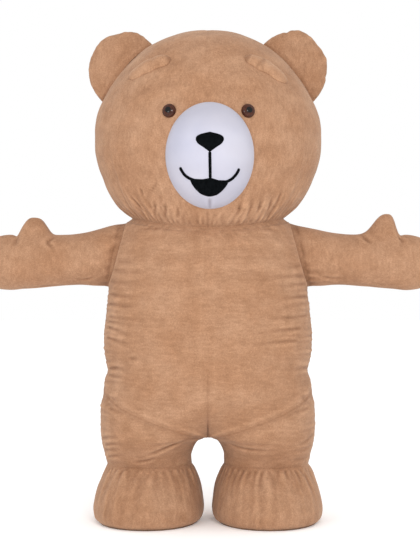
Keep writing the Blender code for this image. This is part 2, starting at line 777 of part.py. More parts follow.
def add_feet(finish, sole_finish):
    """A boot-shaped upper gathered into the ankle seam, and a flat sole, for each foot."""
    seam = [share / 2 for share in SHARES] + [1 - share / 2 for share in reversed(SHARES[:-1])]
    fine = [k / (2 * ANKLE_WAVES) for k in range(2 * ANKLE_WAVES + 1)]
    plain = [k / FOOT_PLACES for k in range(FOOT_PLACES + 1)]
    lines = []
    for height in (ANKLE_HEIGHT, *ANKLE_GATHER_HEIGHTS, *[row[0] for row in FOOT[3:]]):
        fall = ANKLE_HEIGHT - height
        down = fall / (ANKLE_HEIGHT - FOOT[-1][0])
        places = seam if down == 0 else fine if height in ANKLE_GATHER_HEIGHTS else plain
        strength = ease(fall / ANKLE_START) * (1 - ease((fall - ANKLE_FADE_FROM) / ANKLE_FADE_OVER))
        line = []
        for place in places:
            point, normal = foot_point(place, down), -normal_of(foot_point, place, down)
            if down == 0:
                point = body_point(place, ANKLE_HEIGHT)
            lift = wave(ANKLE_WAVES, place, ANKLE_WAVE_HEIGHT) * strength
            line.append((place, point + normal * lift, normal))
        line[-1] = (1.0, line[0][1], line[0][2])
        lines.append(line)
    outline = [foot_point(place, 1.0) for place in plain[:-1]]
    for word, side in (("left", 1), ("right", -1)):
        add_wall(f"foot_{word}", lines, side, finish, ring=True)
        add_sole(f"sole_{word}", outline, side, sole_finish)


def add_sole(name, outline, side, finish):
    """A flat slab with the foot's outline, from a filled curve."""
    curve = bpy.data.curves.new(name, "CURVE")
    curve.dimensions = "2D"
    curve.fill_mode = "BOTH"
    curve.extrude = SOLE_THICK / 2
    spline = curve.splines.new("POLY")
    spline.points.add(len(outline) - 1)
    for slot, point in zip(spline.points, outline):
        slot.co = (point.x * side, point.y + DEPTH_SHIFT, 0, 1)
    spline.use_cyclic_u = True
    made = add_object(name, curve, finish)
    made.location = (0, 0, SOLE_THICK / 2)


def add_arms(finish):
    """A front and a back for each arm, from the armhole to the paw's tip, thumb and all."""
    shares = np.interp(ARM_REACHES, [row[0] for row in ARM], ARM_SHARES)
    hole = list(reversed(armhole_downs()))
    for back in (False, True):
        root = []
        for k, down in enumerate(hole):
            around = armhole_edge(down)
            point = trunk_point(1 - around if back else around, down)
            place = k / ARMHOLE_ROWS
            out = Vector((0, -math.sin(math.pi * place) * (-1 if back else 1), -math.cos(math.pi * place)))
            root.append((place, point, out))
        lines = [root]
        for share in shares:
            line = []
            for place in ARM_PLACES:
                point, normal = arm_point(place, share), normal_of(arm_point, place, share)
                if normal.dot(Vector((0, point.y, point.z - ARMHOLE_MIDDLE))) < 0:
                    normal = -normal
                if place in (0.0, 1.0):
                    normal = Vector((normal.x, 0, normal.z)).normalized()
                if back:
                    point.y, normal.y = -point.y, -normal.y
                line.append((place, point, normal))
            lines.append(line)
        lines.append([(0.0, Vector((ARM[-1][0], 0, ARM[-1][1])), Vector((1, 0, 0)))])
        for word, side in (("left", 1), ("right", -1)):
            add_wall(f"arm_{'back' if back else 'front'}_{word}", lines, side, finish)


def skin():
    """The head and muzzle as one fine surface that pieces on the face are laid against."""
    points, faces = [], []
    rows, columns = 150, 240
    edges = [(muzzle_edge(k / rows, -1), muzzle_edge(k / rows, 1)) for k in range(rows + 1)]
    for k in range(rows + 1):
        for c in range(columns + 1):
            around = -1 + 2 * c / columns
            form = muzzle_point if -edges[k][0] < around < edges[k][1] else head_point
            points.append(shifted(form(around, k / rows)))
    for k in range(rows):
        for c in range(columns):
            a = k * (columns + 1) + c
            faces.append((a, a + 1, a + columns + 2, a + columns + 1))
    return BVHTree.FromPolygons(points, faces)


def on_face(tree, x, z):
    """Where the face lies behind a point seen from the front, and its outward direction."""
    spot, normal, _, _ = tree.ray_cast(Vector((x, -3, z)), Vector((0, 1, 0)))
    return spot, normal if normal.y < 0 else -normal


def add_patch(name, tree, lines, finish, pad):
    """A piece laid on the face: lines of (x, z) points, and a function for its thickness."""
    rows = []
    for k, line in enumerate(lines):
        row = []
        for c, (x, z) in enumerate(line):
            spot, normal = on_face(tree, x, z)
            thick = pad(k / (len(lines) - 1), c / (len(line) - 1))
            row.append((spot + normal * PATCH_LIFT, spot + normal * (PATCH_LIFT + thick)))
        rows.append(row)
    width = len(rows[0])
    flat = [pair[0] for row in rows for pair in row] + [pair[1] for row in rows for pair in row]
    count = len(rows) * width
    faces = []
    for k in range(len(rows) - 1):
        for c in range(width - 1):
            a = k * width + c
            faces += [(a, a + 1, a + width + 1), (a, a + width + 1, a + width)]
    edges = {(face[k - 1], face[k]) for face in faces for k in range(3)}
    walls = faces + [tuple(i + count for i in reversed(face)) for face in faces]
    walls += [(b, a, a + count, b + count) for a, b in edges if (b, a) not in edges]
    mesh = bpy.data.meshes.new(name)
    mesh.from_pydata([tuple(p) for p in flat], [], walls)
    sheet = bmesh.new()
    sheet.from_mesh(mesh)
    bmesh.ops.remove_doubles(sheet, verts=sheet.verts, dist=1e-6)
    bmesh.ops.recalc_face_normals(sheet, faces=sheet.faces)
    sheet.to_mesh(mesh)
    sheet.free()
    mesh.shade_smooth()
    mesh.set_sharp_from_angle(angle=math.radians(40))
    add_object(name, mesh, finish)


def felt_pad(_along, _across):
    return FELT


def nose_span(x):
    """Top and bottom of the nose at a place beside its middle."""
    row = NOSE_AT(abs(x))
    return row["top"], row["bottom"]


def mouth_span(x):
    """Top and bottom of the mouth: an open half moon under the stroke of the smile."""
    middle = SMILE_AT(x)["z"]
    slope = (SMILE_AT(x + 0.002)["z"] - SMILE_AT(x - 0.002)["z"]) / 0.004
    end = ease(min(x - SMILE[0][0], SMILE[-1][0] - x) / 0.006)
    half = SMILE_STROKE / 2 * math.hypot(1, slope) * (0.4 + 0.6 * end)
    bottom = middle - half
    if MOUTH[0][0] < x < MOUTH[-1][0]:
        bottom = min(bottom, MOUTH_AT(x)["z"])
    return middle + half, bottom


def add_face(finishes):
    """Nose, the line below it, the mouth, the brows and the eyes."""
    tree = skin()
    lines = []
    wide = NOSE[-1][0]
    for x in between(-wide, wide, 12):
        top, bottom = nose_span(x)
        lines.append([(MUZZLE_MIDDLE + x, z) for z in between(bottom, top, 4)])
    add_patch("nose", tree, lines, finishes["black"], felt_pad)
    line_top = nose_span(0.0)[1] - 2 * SEAM_GAP
    line_bottom = mouth_span(0.0)[0] + 2 * SEAM_GAP
    widths = (-LINE_WIDTH / 2, LINE_WIDTH / 2)
    lines = [[(MUZZLE_MIDDLE + x, z) for z in between(line_bottom, line_top, 6)] for x in widths]
    add_patch("nose_line", tree, lines, finishes["black"], felt_pad)
    lines = []
    for x in between(SMILE[0][0], SMILE[-1][0], 28):
        top, bottom = mouth_span(x)
        lines.append([(MUZZLE_MIDDLE + x, z) for z in between(bottom, top, 3)])
    add_patch("mouth", tree, lines, finishes["black"], felt_pad)
    for word, side in (("left", 1), ("right", -1)):
        add_brow(f"brow_{word}", tree, side, BROWS[word], finishes["plush"])
        add_eye(f"eye_{word}", tree, side, finishes["eye"])


def add_brow(name, tree, side, ends, finish):
    """A padded brow patch that slopes down and outwards."""
    inner, outer = Vector(ends[0]), Vector(ends[1])
    along = (outer - inner).normalized()
    across = Vector((-along.y, along.x))
    lines = []
    for share in between(0.0, 1.0, 10):
        half = BROW_HALF_HEIGHT * max(1 - abs(2 * share - 1) ** 3.2, 0.02) ** 0.5 * (1.12 - 0.24 * share)
        middle = inner + (outer - inner) * share + across * BROW_ARCH * math.sin(math.pi * share)
        lines.append([(side * (middle + across * half * w).x, (middle + across * half * w).y)
                      for w in (-1.0, -0.6, -0.1, 0.4, 0.8, 1.0)])

    def pad(along_share, across_share):
        dome = math.sin(math.pi * across_share) ** 0.6 if 0 < across_share < 1 else 0.0
        return CLOTH + BROW_PAD * dome * max(1 - abs(2 * along_share - 1) ** 3, 0.0) ** 0.6

    add_patch(name, tree, lines, finish, pad)


def turned(name, profile, steps, finish):
    """A turned piece: (radius, height) points from the top down, spun round Z."""
    mesh = bpy.data.meshes.new(name)
    mesh.from_pydata([(r, 0, h) for r, h in profile], [(k, k + 1) for k in range(len(profile) - 1)], [])
    made = add_object(name, mesh, finish)
    spin = made.modifiers.new("spin", "SCREW")
    spin.steps = spin.render_steps = steps
    spin.use_merge_vertices = True
    spin.merge_threshold = 0.00005
    spin.use_smooth_shade = True
    return made


def add_eye(name, tree, side, finish):
    """A round toy eye: a low dome on a flat back, square to the face."""
    spot, normal = on_face(tree, EYES_MIDDLE + side * EYE_SPREAD, EYE_HEIGHT)
    steps = between(0.0, math.pi / 2, 4)
    profile = [(EYE_RADIUS * math.sin(a), EYE_RIM + EYE_DOME * math.cos(a)) for a in steps]
    profile += [(EYE_RADIUS, 0.0), (0.0, 0.0)]
    made = turned(name, profile, 16, finish)
    turn = normal.to_track_quat("Z", "Y").to_matrix().to_4x4()
    made.matrix_world = Matrix.Translation(spot + normal * 2 * SEAM_GAP) @ turn


def add_ears(finish):
    """A front and a back for each ear, sewn together round the edge; their base lies on the head."""
    tree = skin()
    middle = Vector((EAR_MIDDLE[0], 0, EAR_MIDDLE[1]))
    for back in (False, True):
        turn = 1 if back else -1
        lines = []
        for share in between(0.0, 1.0, EAR_ROWS):
            angle = EAR_FROM + (EAR_TO - EAR_FROM) * share
            reach = EAR_RADIUS + EAR_FLARE * max(0.0, 1 - share / 0.3) ** 2
            rim = middle + Vector((math.cos(angle), 0, math.sin(angle))) * reach
            thick = EAR_HALF_THICK * max(math.sin(math.pi * share), 0.02) ** 0.55
            base, on_head = ear_base(tree, share, turn * thick)
            outward = Vector((rim.x - base.x, 0, rim.z - base.z)).normalized()
            line = [(0.0, base, on_head)]
            for step in between(0.0, 1.0, 4)[1:]:
                reach, swell = math.sin(step * math.pi / 2), math.cos(step * math.pi / 2)
                flat = base + (rim - base) * reach
                normal = Vector((0, turn, 0)) * swell + outward * reach
                line.append((step, Vector((flat.x, turn * thick * swell, flat.z)), normal.normalized()))
            lines.append(line)
        for word, side in (("left", 1), ("right", -1)):
            add_wall(f"ear_{'back' if back else 'front'}_{word}", lines, side, finish)


def ear_base(tree, share, depth):
    """A point of the ear's base just clear of the head, and the direction along the head from there
    that leads out of the ear."""
    low, high = Vector(EAR_LOW), Vector(EAR_HIGH)
    spot = low + (high - low) * share - Vector(EAR_BOW) * math.sin(math.pi * share)
    away = Vector((math.cos(EAR_LEAN), 0, math.sin(EAR_LEAN)))
    start = Vector((spot.x, depth + DEPTH_SHIFT, spot.y)) + away
    found, normal, _, _ = tree.ray_cast(start, -away)
    if normal.dot(away) < 0:
        normal = -normal
    out = Vector((0, math.copysign(1, depth), 0))
    on_head = (out - normal * out.dot(normal)).normalized()
    return Vector((found.x, depth, found.z)) + normal * 2 * SEAM_GAP, on_head


def add_band(name, left, right, thick_normals, thick, finish):
    """A band between two edges, made from points of the back, with its thickness on the inner side."""
    mesh = bpy.data.meshes.new(name)
    count = len(left)
    outer = left + right
    inner = [p - n * thick for p, n in zip(outer, thick_normals + thick_normals)]
    faces = []
    for k in range(count - 1):
        faces.append((k, k + 1, count + k + 1, count + k))
        faces.append((2 * count + k, 3 * count + k, 3 * count + k + 1, 2 * count + k + 1))
        faces.append((k, 2 * count + k, 2 * count + k + 1, k + 1))
        faces.append((count + k, count + k + 1, 3 * count + k + 1, 3 * count + k))
    for k in (0, count - 1):
        faces.append((k, count + k, 3 * count + k, 2 * count + k))
    mesh.from_pydata([tuple(shifted(p)) for p in outer + inner], [], faces)
    band = bmesh.new()
    band.from_mesh(mesh)
    bmesh.ops.recalc_face_normals(band, faces=band.faces)
    band.to_mesh(mesh)
    band.free()
    return add_object(name, mesh, finish)


def box(name, size, finish):
    """A block with its edges rounded."""
    mesh = bpy.data.meshes.new(name)
    block = bmesh.new()
    bmesh.ops.create_cube(block, size=1.0, matrix=Matrix.Diagonal((*size, 1.0)))
    block.to_mesh(mesh)
    block.free()
    made = add_object(name, mesh, finish)
    edge = made.modifiers.new("edge", "BEVEL")
    edge.width = min(size) * 0.25
    edge.segments = 1
    return made


def closed_mesh(piece):
    """A piece's mesh in its place, with the caps of a curve welded."""
    graph = bpy.context.evaluated_depsgraph_get()
    mesh = bpy.data.meshes.new_from_object(piece.evaluated_get(graph))
    mesh.transform(piece.matrix_world)
    weld = bmesh.new()
    weld.from_mesh(mesh)
    bmesh.ops.remove_doubles(weld, verts=weld.verts, dist=1e-6)
    weld.to_mesh(mesh)
    weld.free()
    return mesh


def joined(name, first, second, finish):
    """Two pieces that overlap made one body."""
    bpy.context.view_layer.update()
    base = bpy.data.objects.new("base", closed_mesh(first))
    helper = bpy.data.objects.new("helper", closed_mesh(second))
    for made in (base, helper):
        HELPERS.objects.link(made)
    union = base.modifiers.new("union", "BOOLEAN")
    union.operation = "UNION"
    union.object = helper
    bpy.context.view_layer.update()
    mesh = closed_mesh(base)
    for used in (first, second, base, helper):
        bpy.data.objects.remove(used)
    mesh.materials.clear()
    mesh.name = name
    return add_object(name, mesh, finish)


def wire(name, route, radius, finish, closed=False):
    """A round wire through its points."""
    curve = bpy.data.curves.new(name, "CURVE")
    curve.dimensions = "3D"
    curve.bevel_depth = radius
    curve.bevel_resolution = 1
    curve.use_fill_caps = not closed
    spline = curve.splines.new("POLY")
    spline.points.add(len(route) - 1)
    for slot, point in zip(spline.points, route):
        slot.co = (*point, 1)
    spline.use_cyclic_u = closed
    return add_object(name, curve, finish)


def zip_rows():
    """Rows of the back's centre edge and of the next line, beside the zip's slot."""
    downs = back_downs()
    pairs = zip(torso_line(SHARES[0], downs, True), torso_line(SHARES[1], downs, True))
    return [(a, b) for a, b in pairs if ZIP_END - ZIP_STOP < a[1].z < ZIP_TOP + ZIP_STOP]


def add_zip(finishes):
    """Tapes behind the back's centre edges, the chain between them, and the slider with its pull."""
    rows = zip_rows()
    under = CLOTH + SEAM_GAP
    normals = [a[2] for a, _ in rows]
    middle = [a[1] - a[2] * under for a, _ in rows]
    edge = []
    for a, b in rows:
        share = ZIP_TAPE_HALF / (b[1] - a[1]).length
        edge.append(a[1].lerp(b[1], share) - a[2].lerp(b[2], share) * under)
    for word, side in (("left", 1), ("right", -1)):
        inner_edge = [p + Vector((side * SEAM_GAP / 2, 0, 0)) for p in middle]
        outer_edge = [Vector((p.x * side, p.y, p.z)) for p in edge]
        add_band(f"zip_tape_{word}", inner_edge, outer_edge, normals, ZIP_TAPE_THICK, finishes["tape"])
    top, below = rows[0][0], rows[1][0]
    length = (below[1] - top[1]).length
    from_share = (ZIP_STOP + SLIDER_LENGTH + 2 * SEAM_GAP) / length
    chain = [(top[1].lerp(below[1], from_share), top[2].lerp(below[2], from_share))]
    chain += [(a[1], a[2]) for a, _ in rows[1:] if a[1].z > ZIP_END + ZIP_FOOT - ZIP_STOP]
    face = [point + normal * ZIP_PROUD for point, normal in chain]
    across = Vector((ZIP_CHAIN_HALF, 0, 0))
    chain_normals = [normal for _, normal in chain]
    add_band("zip_chain", [p + across for p in face], [p - across for p in face], chain_normals,
             ZIP_CHAIN_THICK, finishes["plastic"])
    tangent = (below[1] - top[1]).normalized()
    normal = Vector((0, -tangent.z, tangent.y))
    across = tangent.cross(normal)
    place = Matrix((across, tangent, normal)).transposed().to_4x4()
    place.translation = shifted(top[1] + tangent * (ZIP_STOP + SLIDER_LENGTH / 2))
    add_slider(place, finishes["metal"])


def add_slider(place, finish):
    """The slider at the chain's upper end, and the pull that swings on its bail.

    In the slider's own frame X is across, Y down along the zip and Z away from the back.
    """
    foot = -CLOTH + 2 * SEAM_GAP
    top = foot + SLIDER_THICK
    body = box("body", (2 * SLIDER_HALF_WIDTH, SLIDER_LENGTH, SLIDER_THICK), finish)
    body.location = (0, 0, (top + foot) / 2)
    rise = BAIL_HEIGHT - BAIL_WIRE
    arch = [(0, -BAIL_HALF_LENGTH * math.cos(a), top + rise * math.sin(a)) for a in between(0, math.pi, 10)]
    ends = [(0, side * BAIL_HALF_LENGTH, top - BAIL_WIRE) for side in (-1, 1)]
    bail = wire("bail", [ends[0], *arch, ends[1]], BAIL_WIRE, finish)
    slider = joined("zip_slider", body, bail, finish)
    slider.matrix_world = place
    half = PULL_HALF_WIDTH - PULL_PIN
    end = BAIL_HALF_LENGTH + BAIL_WIRE + RING_SPARE
    route = [(-half + RING_CORNER, 0, 0), (-half, RING_CORNER, 0), (-half, end, 0)]
    ring = wire("ring", [*route, *[(-x, y, z) for x, y, z in reversed(route)]], PULL_PIN, finish, True)
    tab = box("tab", (2 * PULL_HALF_WIDTH, PULL_LENGTH - end, PULL_THICK), finish)
    tab.location = (0, (PULL_LENGTH + end) / 2, 0)
    pull = joined("zip_pull", tab, ring, finish)
    pin = place @ Vector((0, 0, top + PULL_PIN + SEAM_GAP))
    pull.matrix_world = Matrix.Translation(pin) @ place.to_3x3().to_4x4()


def clear_scene():
    for old in list(bpy.data.objects):
        bpy.data.objects.remove(old)


clear_scene()
PARTS = bpy.data.collections.new("bear mascot costume")
HELPERS = bpy.data.collections.new("helpers")
for group in (PARTS, HELPERS):
    bpy.context.scene.collection.children.link(group)


def build():
    plush = material("plush", *PLUSH)
    white = material("white plush", *WHITE_PLUSH)
    black = material("black felt", *BLACK_FELT)
    eye = material("eye", *EYE_BROWN)
    sole = material("sole cloth", *SOLE_CLOTH)
    tape = material("zip tape", *ZIP_TAPE_CLOTH)
    plastic = material("zip chain", *ZIP_PLASTIC)
    metal = material("zip metal", *ZIP_METAL, metallic=1.0)
    add_head(plush)
    add_muzzle(white)
    add_face({"black": black, "plush": plush, "eye": eye})
    add_ears(plush)
    add_torso(plush)
    add_arms(plush)
    add_legs(plush)
    add_feet(plush, sole)
    add_zip({"tape": tape, "plastic": plastic, "metal": metal})


build()
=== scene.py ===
"""Bear mascot costume: the looks. Every cloth piece is a thin shell on its solid's form.

Metres, +Z up, the bear faces -Y, the wearer's left is +X. Base forms repeat the part's tables, apart
from the thumbs, the cheeks and the ears' rims, which follow the photograph more closely.
"""
import math

import bmesh
import bpy
import numpy as np
from mathutils import Matrix, Vector
from mathutils.bvhtree import BVHTree


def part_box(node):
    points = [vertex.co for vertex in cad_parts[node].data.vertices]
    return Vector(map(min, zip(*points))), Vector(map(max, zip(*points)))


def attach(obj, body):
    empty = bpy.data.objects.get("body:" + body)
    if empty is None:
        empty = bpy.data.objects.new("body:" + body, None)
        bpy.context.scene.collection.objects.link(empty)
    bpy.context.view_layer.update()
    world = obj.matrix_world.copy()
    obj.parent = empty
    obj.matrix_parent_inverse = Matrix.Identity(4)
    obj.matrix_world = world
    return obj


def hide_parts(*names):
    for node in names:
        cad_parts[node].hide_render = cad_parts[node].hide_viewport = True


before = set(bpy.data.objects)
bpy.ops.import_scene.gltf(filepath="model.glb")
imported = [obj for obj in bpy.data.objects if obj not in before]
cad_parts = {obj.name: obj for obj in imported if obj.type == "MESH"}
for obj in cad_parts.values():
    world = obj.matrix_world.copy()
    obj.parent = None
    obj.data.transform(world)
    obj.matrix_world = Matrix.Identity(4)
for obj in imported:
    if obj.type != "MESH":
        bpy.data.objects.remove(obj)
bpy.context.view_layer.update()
SCENE = bpy.context.scene

# ---------------------------------------------------------------- the part's own sizes
# the trunk's middle lies this far behind the frame's origin
SHIFT = 0.06225
# thickness of the cloth
CLOTH = 0.0022
NECK_HEIGHT = 1.41
NECK_DIP = 0.05
CROTCH_HEIGHT = 0.395
HIP_SEAM_RISE = 0.225
HIP_SEAM_POWER = 2.2
HIP_BLEND_TOP = 0.64
ANKLE_HEIGHT = 0.262
TRUNK_ROUND = 2.15
FOOT_ROUND = 2.15


def in_metres(table, parts=1000):
    """Rows of a table of whole numbers, each of so many parts to the metre."""
    return [tuple(int(number) / parts for number in row.split()) for row in table.strip().splitlines()]


# height, half width, depth in front, depth behind
HEAD = in_metres("""
1410 367 300 305
1448 390 334 335
1476 414 358 358
1532 451 397 392
1589 484 428 420
1645 510 449 440
1730 529 466 455
1814 530 469 458
1871 523 463 455
1927 505 449 445
1998 470 421 420
2045 440 396 398
2101 399 360 362
2153 352 318 320
2209 283 257 258
2250 205 188 189
2277 118 110 110
2289 0 0 0
""")
TRUNK = in_metres("""
1440 350 285 292
1410 367 300 305
1360 397 317 318
1300 422 333 330
1240 440 347 340
1150 456 364 350
1025 469 385 358
912 483 400 362
855 487 404 362
790 485 403 361
743 477 400 360
700 468 396 358
658 478 396 362
600 491 396 370
545 498 394 376
460 501 385 375
395 498 372 368
348 491 360 355
300 479 350 345
262 472 340 335
""")
# height, inseam from the middle, half depth, middle of the depth
LEG = in_metres("""
640 0 372 -10
500 0 345 -8
395 0 300 -5
383 34 291 -4
362 56 276 -3
335 70 255 -2
300 78 226 0
262 75 198 0
""")
# height, middle x, half width, toe reach, heel reach
FOOT = in_metres("""
2620 2735 1985 1980 1980
2350 2730 2100 2220 2080
2000 2725 2250 2580 2180
1500 2755 2420 3000 2280
1000 2775 2530 3300 2350
600 2785 2570 3420 2380
300 2785 2540 3400 2360
130 2785 2450 3300 2280
56 2785 2340 3180 2170
""", 10000)
# reach, top, bottom, half depth
ARM = in_metres("""
470 1374 1094 135
520 1356 1098 130
590 1341 1102 123
660 1334 1100 119
730 1333 1095 118
800 1334 1090 118
870 1335 1083 116
930 1334 1077 112
985 1325 1082 102
1030 1300 1105 82
1056 1262 1145 52
1066 1205 1205 0
""")
ARMHOLE_MIDDLE = 1.241
ARMHOLE_HALF_HEIGHT = 0.151
ARMHOLE_HALF_DEPTH = 0.126
ARM_START = 0.520
# thumb: reach, half width towards the body and the tip, how square each side is, height
THUMBS = {
    "right": (0.811, 0.061, 0.064, 3.0, 3.2, 0.082),
    "left": (0.838, 0.074, 0.050, 2.2, 3.6, 0.098),
}
THUMB_HALF_DEPTH = 0.064
CREASE_REACH = 0.893
CREASE_DEPTH = 0.016
CREASE_HALF_WIDTH = 0.016
MUZZLE_MIDDLE = 0.009
MUZZLE_HEIGHT = 1.669
MUZZLE_HALF_WIDTH = 0.195
MUZZLE_HALF_HEIGHT = 0.231
MUZZLE_BULGE = 0.118
SIDES = (("left", 1), ("right", -1))
HALVES = ("front", "back")


# ---------------------------------------------------------------- curves and base forms
def curve(table):
    """Columns of a table at values of its first one, on smooth cubic pieces."""
    rows = np.array(sorted(map(tuple, table)), float)
    at = rows[:, 0]
    steps = np.diff(rows, axis=0) / np.diff(at)[:, None]
    before, after = steps[:-1], steps[1:]
    same = before * after > 0
    inner = np.where(same, 2 * before * after / np.where(same, before + after, 1), 0)
    slopes = np.vstack([steps[:1], inner, steps[-1:]])

    def value(x):
        x = np.clip(np.asarray(x, float), at[0], at[-1])
        i = np.clip(np.searchsorted(at, x, side="right") - 1, 0, len(at) - 2)
        width = (at[i + 1] - at[i])[..., None]
        t = (x[..., None] - at[i][..., None]) / width
        found = (2 * t**3 - 3 * t**2 + 1) * rows[i] + (3 * t**2 - 2 * t**3) * rows[i + 1]
        found = found + ((t**3 - 2 * t**2 + t) * slopes[i] + (t**3 - t**2) * slopes[i + 1]) * width
        return np.moveaxis(found, -1, 0)

    return value


def steps_along(route):
    """Distance of each point of a route from its start."""
    return np.concatenate([[0.0], np.cumsum(np.linalg.norm(np.diff(route, axis=0), axis=1))])


def stations(table):
    """A table's curve by the share of the way along its first two columns, and those shares."""
    rows = np.array(table, float)
    steps = np.hypot(np.diff(rows[:, 0]), np.diff(rows[:, 1]))
    shares = np.concatenate([[0.0], np.cumsum(steps)]) / steps.sum()
    return curve([(share, *row) for share, row in zip(shares, table)]), shares


TRUNK_AT = curve(TRUNK)
LEG_AT = curve(LEG)
FOOT_AT = curve(FOOT)
ARM_AT, ARM_SHARES = stations(ARM)
HEAD_AT, _ = stations(HEAD)


def ease(value):
    value = np.clip(value, 0.0, 1.0)
    return value * value * (3 - 2 * value)


def power(value, exponent):
    return np.sign(value) * np.abs(value) ** exponent


def bell(value, width):
    return np.exp(-((value / width) ** 2))


def joined(x, y, z):
    return np.stack(np.broadcast_arrays(x, y + SHIFT, z), axis=-1)


def neck_dip(around, height, fade):
    front = np.maximum(0.0, np.cos(np.pi * around)) ** 2
    return NECK_DIP * front * (1 - ease(np.abs(height - NECK_HEIGHT) / fade))


def head_form(around, share):
    _, z, half, front, back = HEAD_AT(share)
    angle = np.pi * around
    depth = np.where(np.cos(angle) > 0, front, back)
    return joined(half * np.sin(angle), -depth * np.cos(angle), z - neck_dip(around, z, 0.20))


def muzzle_reach(points, side=1):
    beside = (points[..., 0] * side - MUZZLE_MIDDLE) / MUZZLE_HALF_WIDTH
    return np.hypot(beside, (points[..., 2] - MUZZLE_HEIGHT) / MUZZLE_HALF_HEIGHT)


def muzzle_form(around, share):
    points = head_form(around, share)
    points[..., 1] -= MUZZLE_BULGE * np.maximum(0.0, 1 - muzzle_reach(points) ** 2.2) ** 0.62
    return points


def hip_seam_height(around):
    return CROTCH_HEIGHT + HIP_SEAM_RISE * np.abs(np.sin(np.pi * around)) ** HIP_SEAM_POWER


def body_form(around, height):
    """Half the body, from the neck seam to the ankle; around runs from the front to the back."""
    _, trunk_half, front, back = TRUNK_AT(height)
    _, inseam, leg_depth, leg_middle = LEG_AT(height)
    angle = np.pi * around
    depth = np.where(np.cos(angle) > 0, front, back)
    rounding = 2 / (2 + (TRUNK_ROUND - 2) * ease((NECK_HEIGHT - height) / 0.15))
    trunk_x = trunk_half * power(np.sin(angle), rounding)
    trunk_y = -depth * power(np.cos(angle), rounding)
    half = (trunk_half - inseam) / 2
    leg_x = inseam + half - half * np.cos(2 * angle)
    leg_y = leg_middle - leg_depth * np.sin(2 * angle)
    q = np.clip((HIP_BLEND_TOP - height) / (HIP_BLEND_TOP - CROTCH_HEIGHT), 0.0, 1.0)
    under, over = 1 - np.sqrt(1 - q * q), ease(q)
    blend_y = under + (over - under) * np.sin(angle) ** 2
    x = trunk_x + (leg_x - trunk_x) * over
    y = trunk_y + (leg_y - trunk_y) * blend_y
    return joined(x, y, height - neck_dip(around, height, 0.30))


def foot_form(around, down):
    z, middle, half, toe, heel = FOOT_AT(ANKLE_HEIGHT + (FOOT[-1][0] - ANKLE_HEIGHT) * down)
    angle = 2 * np.pi * around
    reach = np.where(np.sin(angle) > 0, toe, heel)
    rounding = 2 / (2 + (FOOT_ROUND - 2) * ease(down * 4))
    x = middle - half * power(np.cos(angle), rounding)
    return joined(x, -reach * power(np.sin(angle), rounding), z)


def arm_form(around, share, thumb):
    """An arm with its paw and thumb: around is 0 at the lower seam, 0.5 in front, 1 at the top."""
    _, x, top, bottom, half_depth = ARM_AT(share)
    angle = np.pi * around
    y = -half_depth * np.sin(angle)
    z = (top + bottom) / 2 - (top - bottom) / 2 * np.cos(angle)
    at, inner, outer, inner_power, outer_power, height = thumb
    inward = ((at - x).clip(0) / inner) ** inner_power
    outward = ((x - at).clip(0) / outer) ** outer_power
    along = np.where(x < at, inward, outward)
    across = np.abs(y) / THUMB_HALF_DEPTH
    dent = (x - CREASE_REACH) / CREASE_HALF_WIDTH
    raised = height * np.exp(-along) * np.exp(-across**3.0)
    crease = CREASE_DEPTH * np.exp(-dent * dent) * np.cos(angle) ** 2
    return joined(x, y, z + np.where(around > 0.4, raised - crease, 0.0))


def solved(test, low, high, rounds=40):
    """Where a test of arrays turns from true to false, between low and high."""
    low, high = np.array(low, float), np.array(high, float)
    for _ in range(rounds):
        middle = (low + high) / 2
        passed = test(middle)
        low, high = np.where(passed, middle, low), np.where(passed, high, middle)
    return low


def share_at_height(height, around=0.0):
    return float(solved(lambda s: head_form(np.array(around), s)[..., 2] < height, 0.0, 1.0))


def muzzle_edge(shares, side):
    """How far around the muzzle's oval reaches at rows of the head, or 0 outside it."""
    none = np.zeros(len(shares))
    edge = solved(lambda u: muzzle_reach(head_form(u, shares), side) < 1, none, none + 0.4)
    return np.where(muzzle_reach(head_form(none, shares)) < 1, edge, 0.0)


def armhole_edge(downs):
    """The share around at which the armhole starts, or 0.5 clear of it."""
    side = NECK_HEIGHT + (hip_seam_height(0.5) - NECK_HEIGHT) * downs
    level = (side - ARMHOLE_MIDDLE) / ARMHOLE_HALF_HEIGHT
    depth = ARMHOLE_HALF_DEPTH * np.sqrt(np.maximum(0.0, 1 - level * level))

    def in_front(u):
        height = NECK_HEIGHT + (hip_seam_height(u) - NECK_HEIGHT) * downs
        return -(body_form(u, height)[..., 1] - SHIFT) > depth

    edge = solved(in_front, np.full(len(downs), 0.25), np.full(len(downs), 0.5))
    return np.where(np.abs(level) < 1, edge, 0.5)


# ---------------------------------------------------------------- grids, normals and shells
PANELS = {}
NECK_PINCH = 0.012
SHARP_ANGLE = 70


def spread(*stops):
    """Values through stops of (value, steps to the next one)."""
    out = []
    for (low, count), (high, _) in zip(stops, stops[1:]):
        out += [low + (high - low) * k / count for k in range(count)]
    return np.array([*out, stops[-1][0]])


def bunched(low, high, count):
    """Values between two, closer together at both ends."""
    return low + (high - low) * (1 - np.cos(np.pi * np.arange(count + 1) / count)) / 2


def arc(points, axis):
    """Distance along the grid's lines from the first row or column."""
    steps = np.linalg.norm(np.diff(points, axis=axis), axis=2)
    return np.cumsum(np.concatenate([np.zeros_like(np.take(steps, [0], axis)), steps], axis), axis)


def away(distance, reach):
    return 1 - np.exp(-((distance / reach) ** 2))


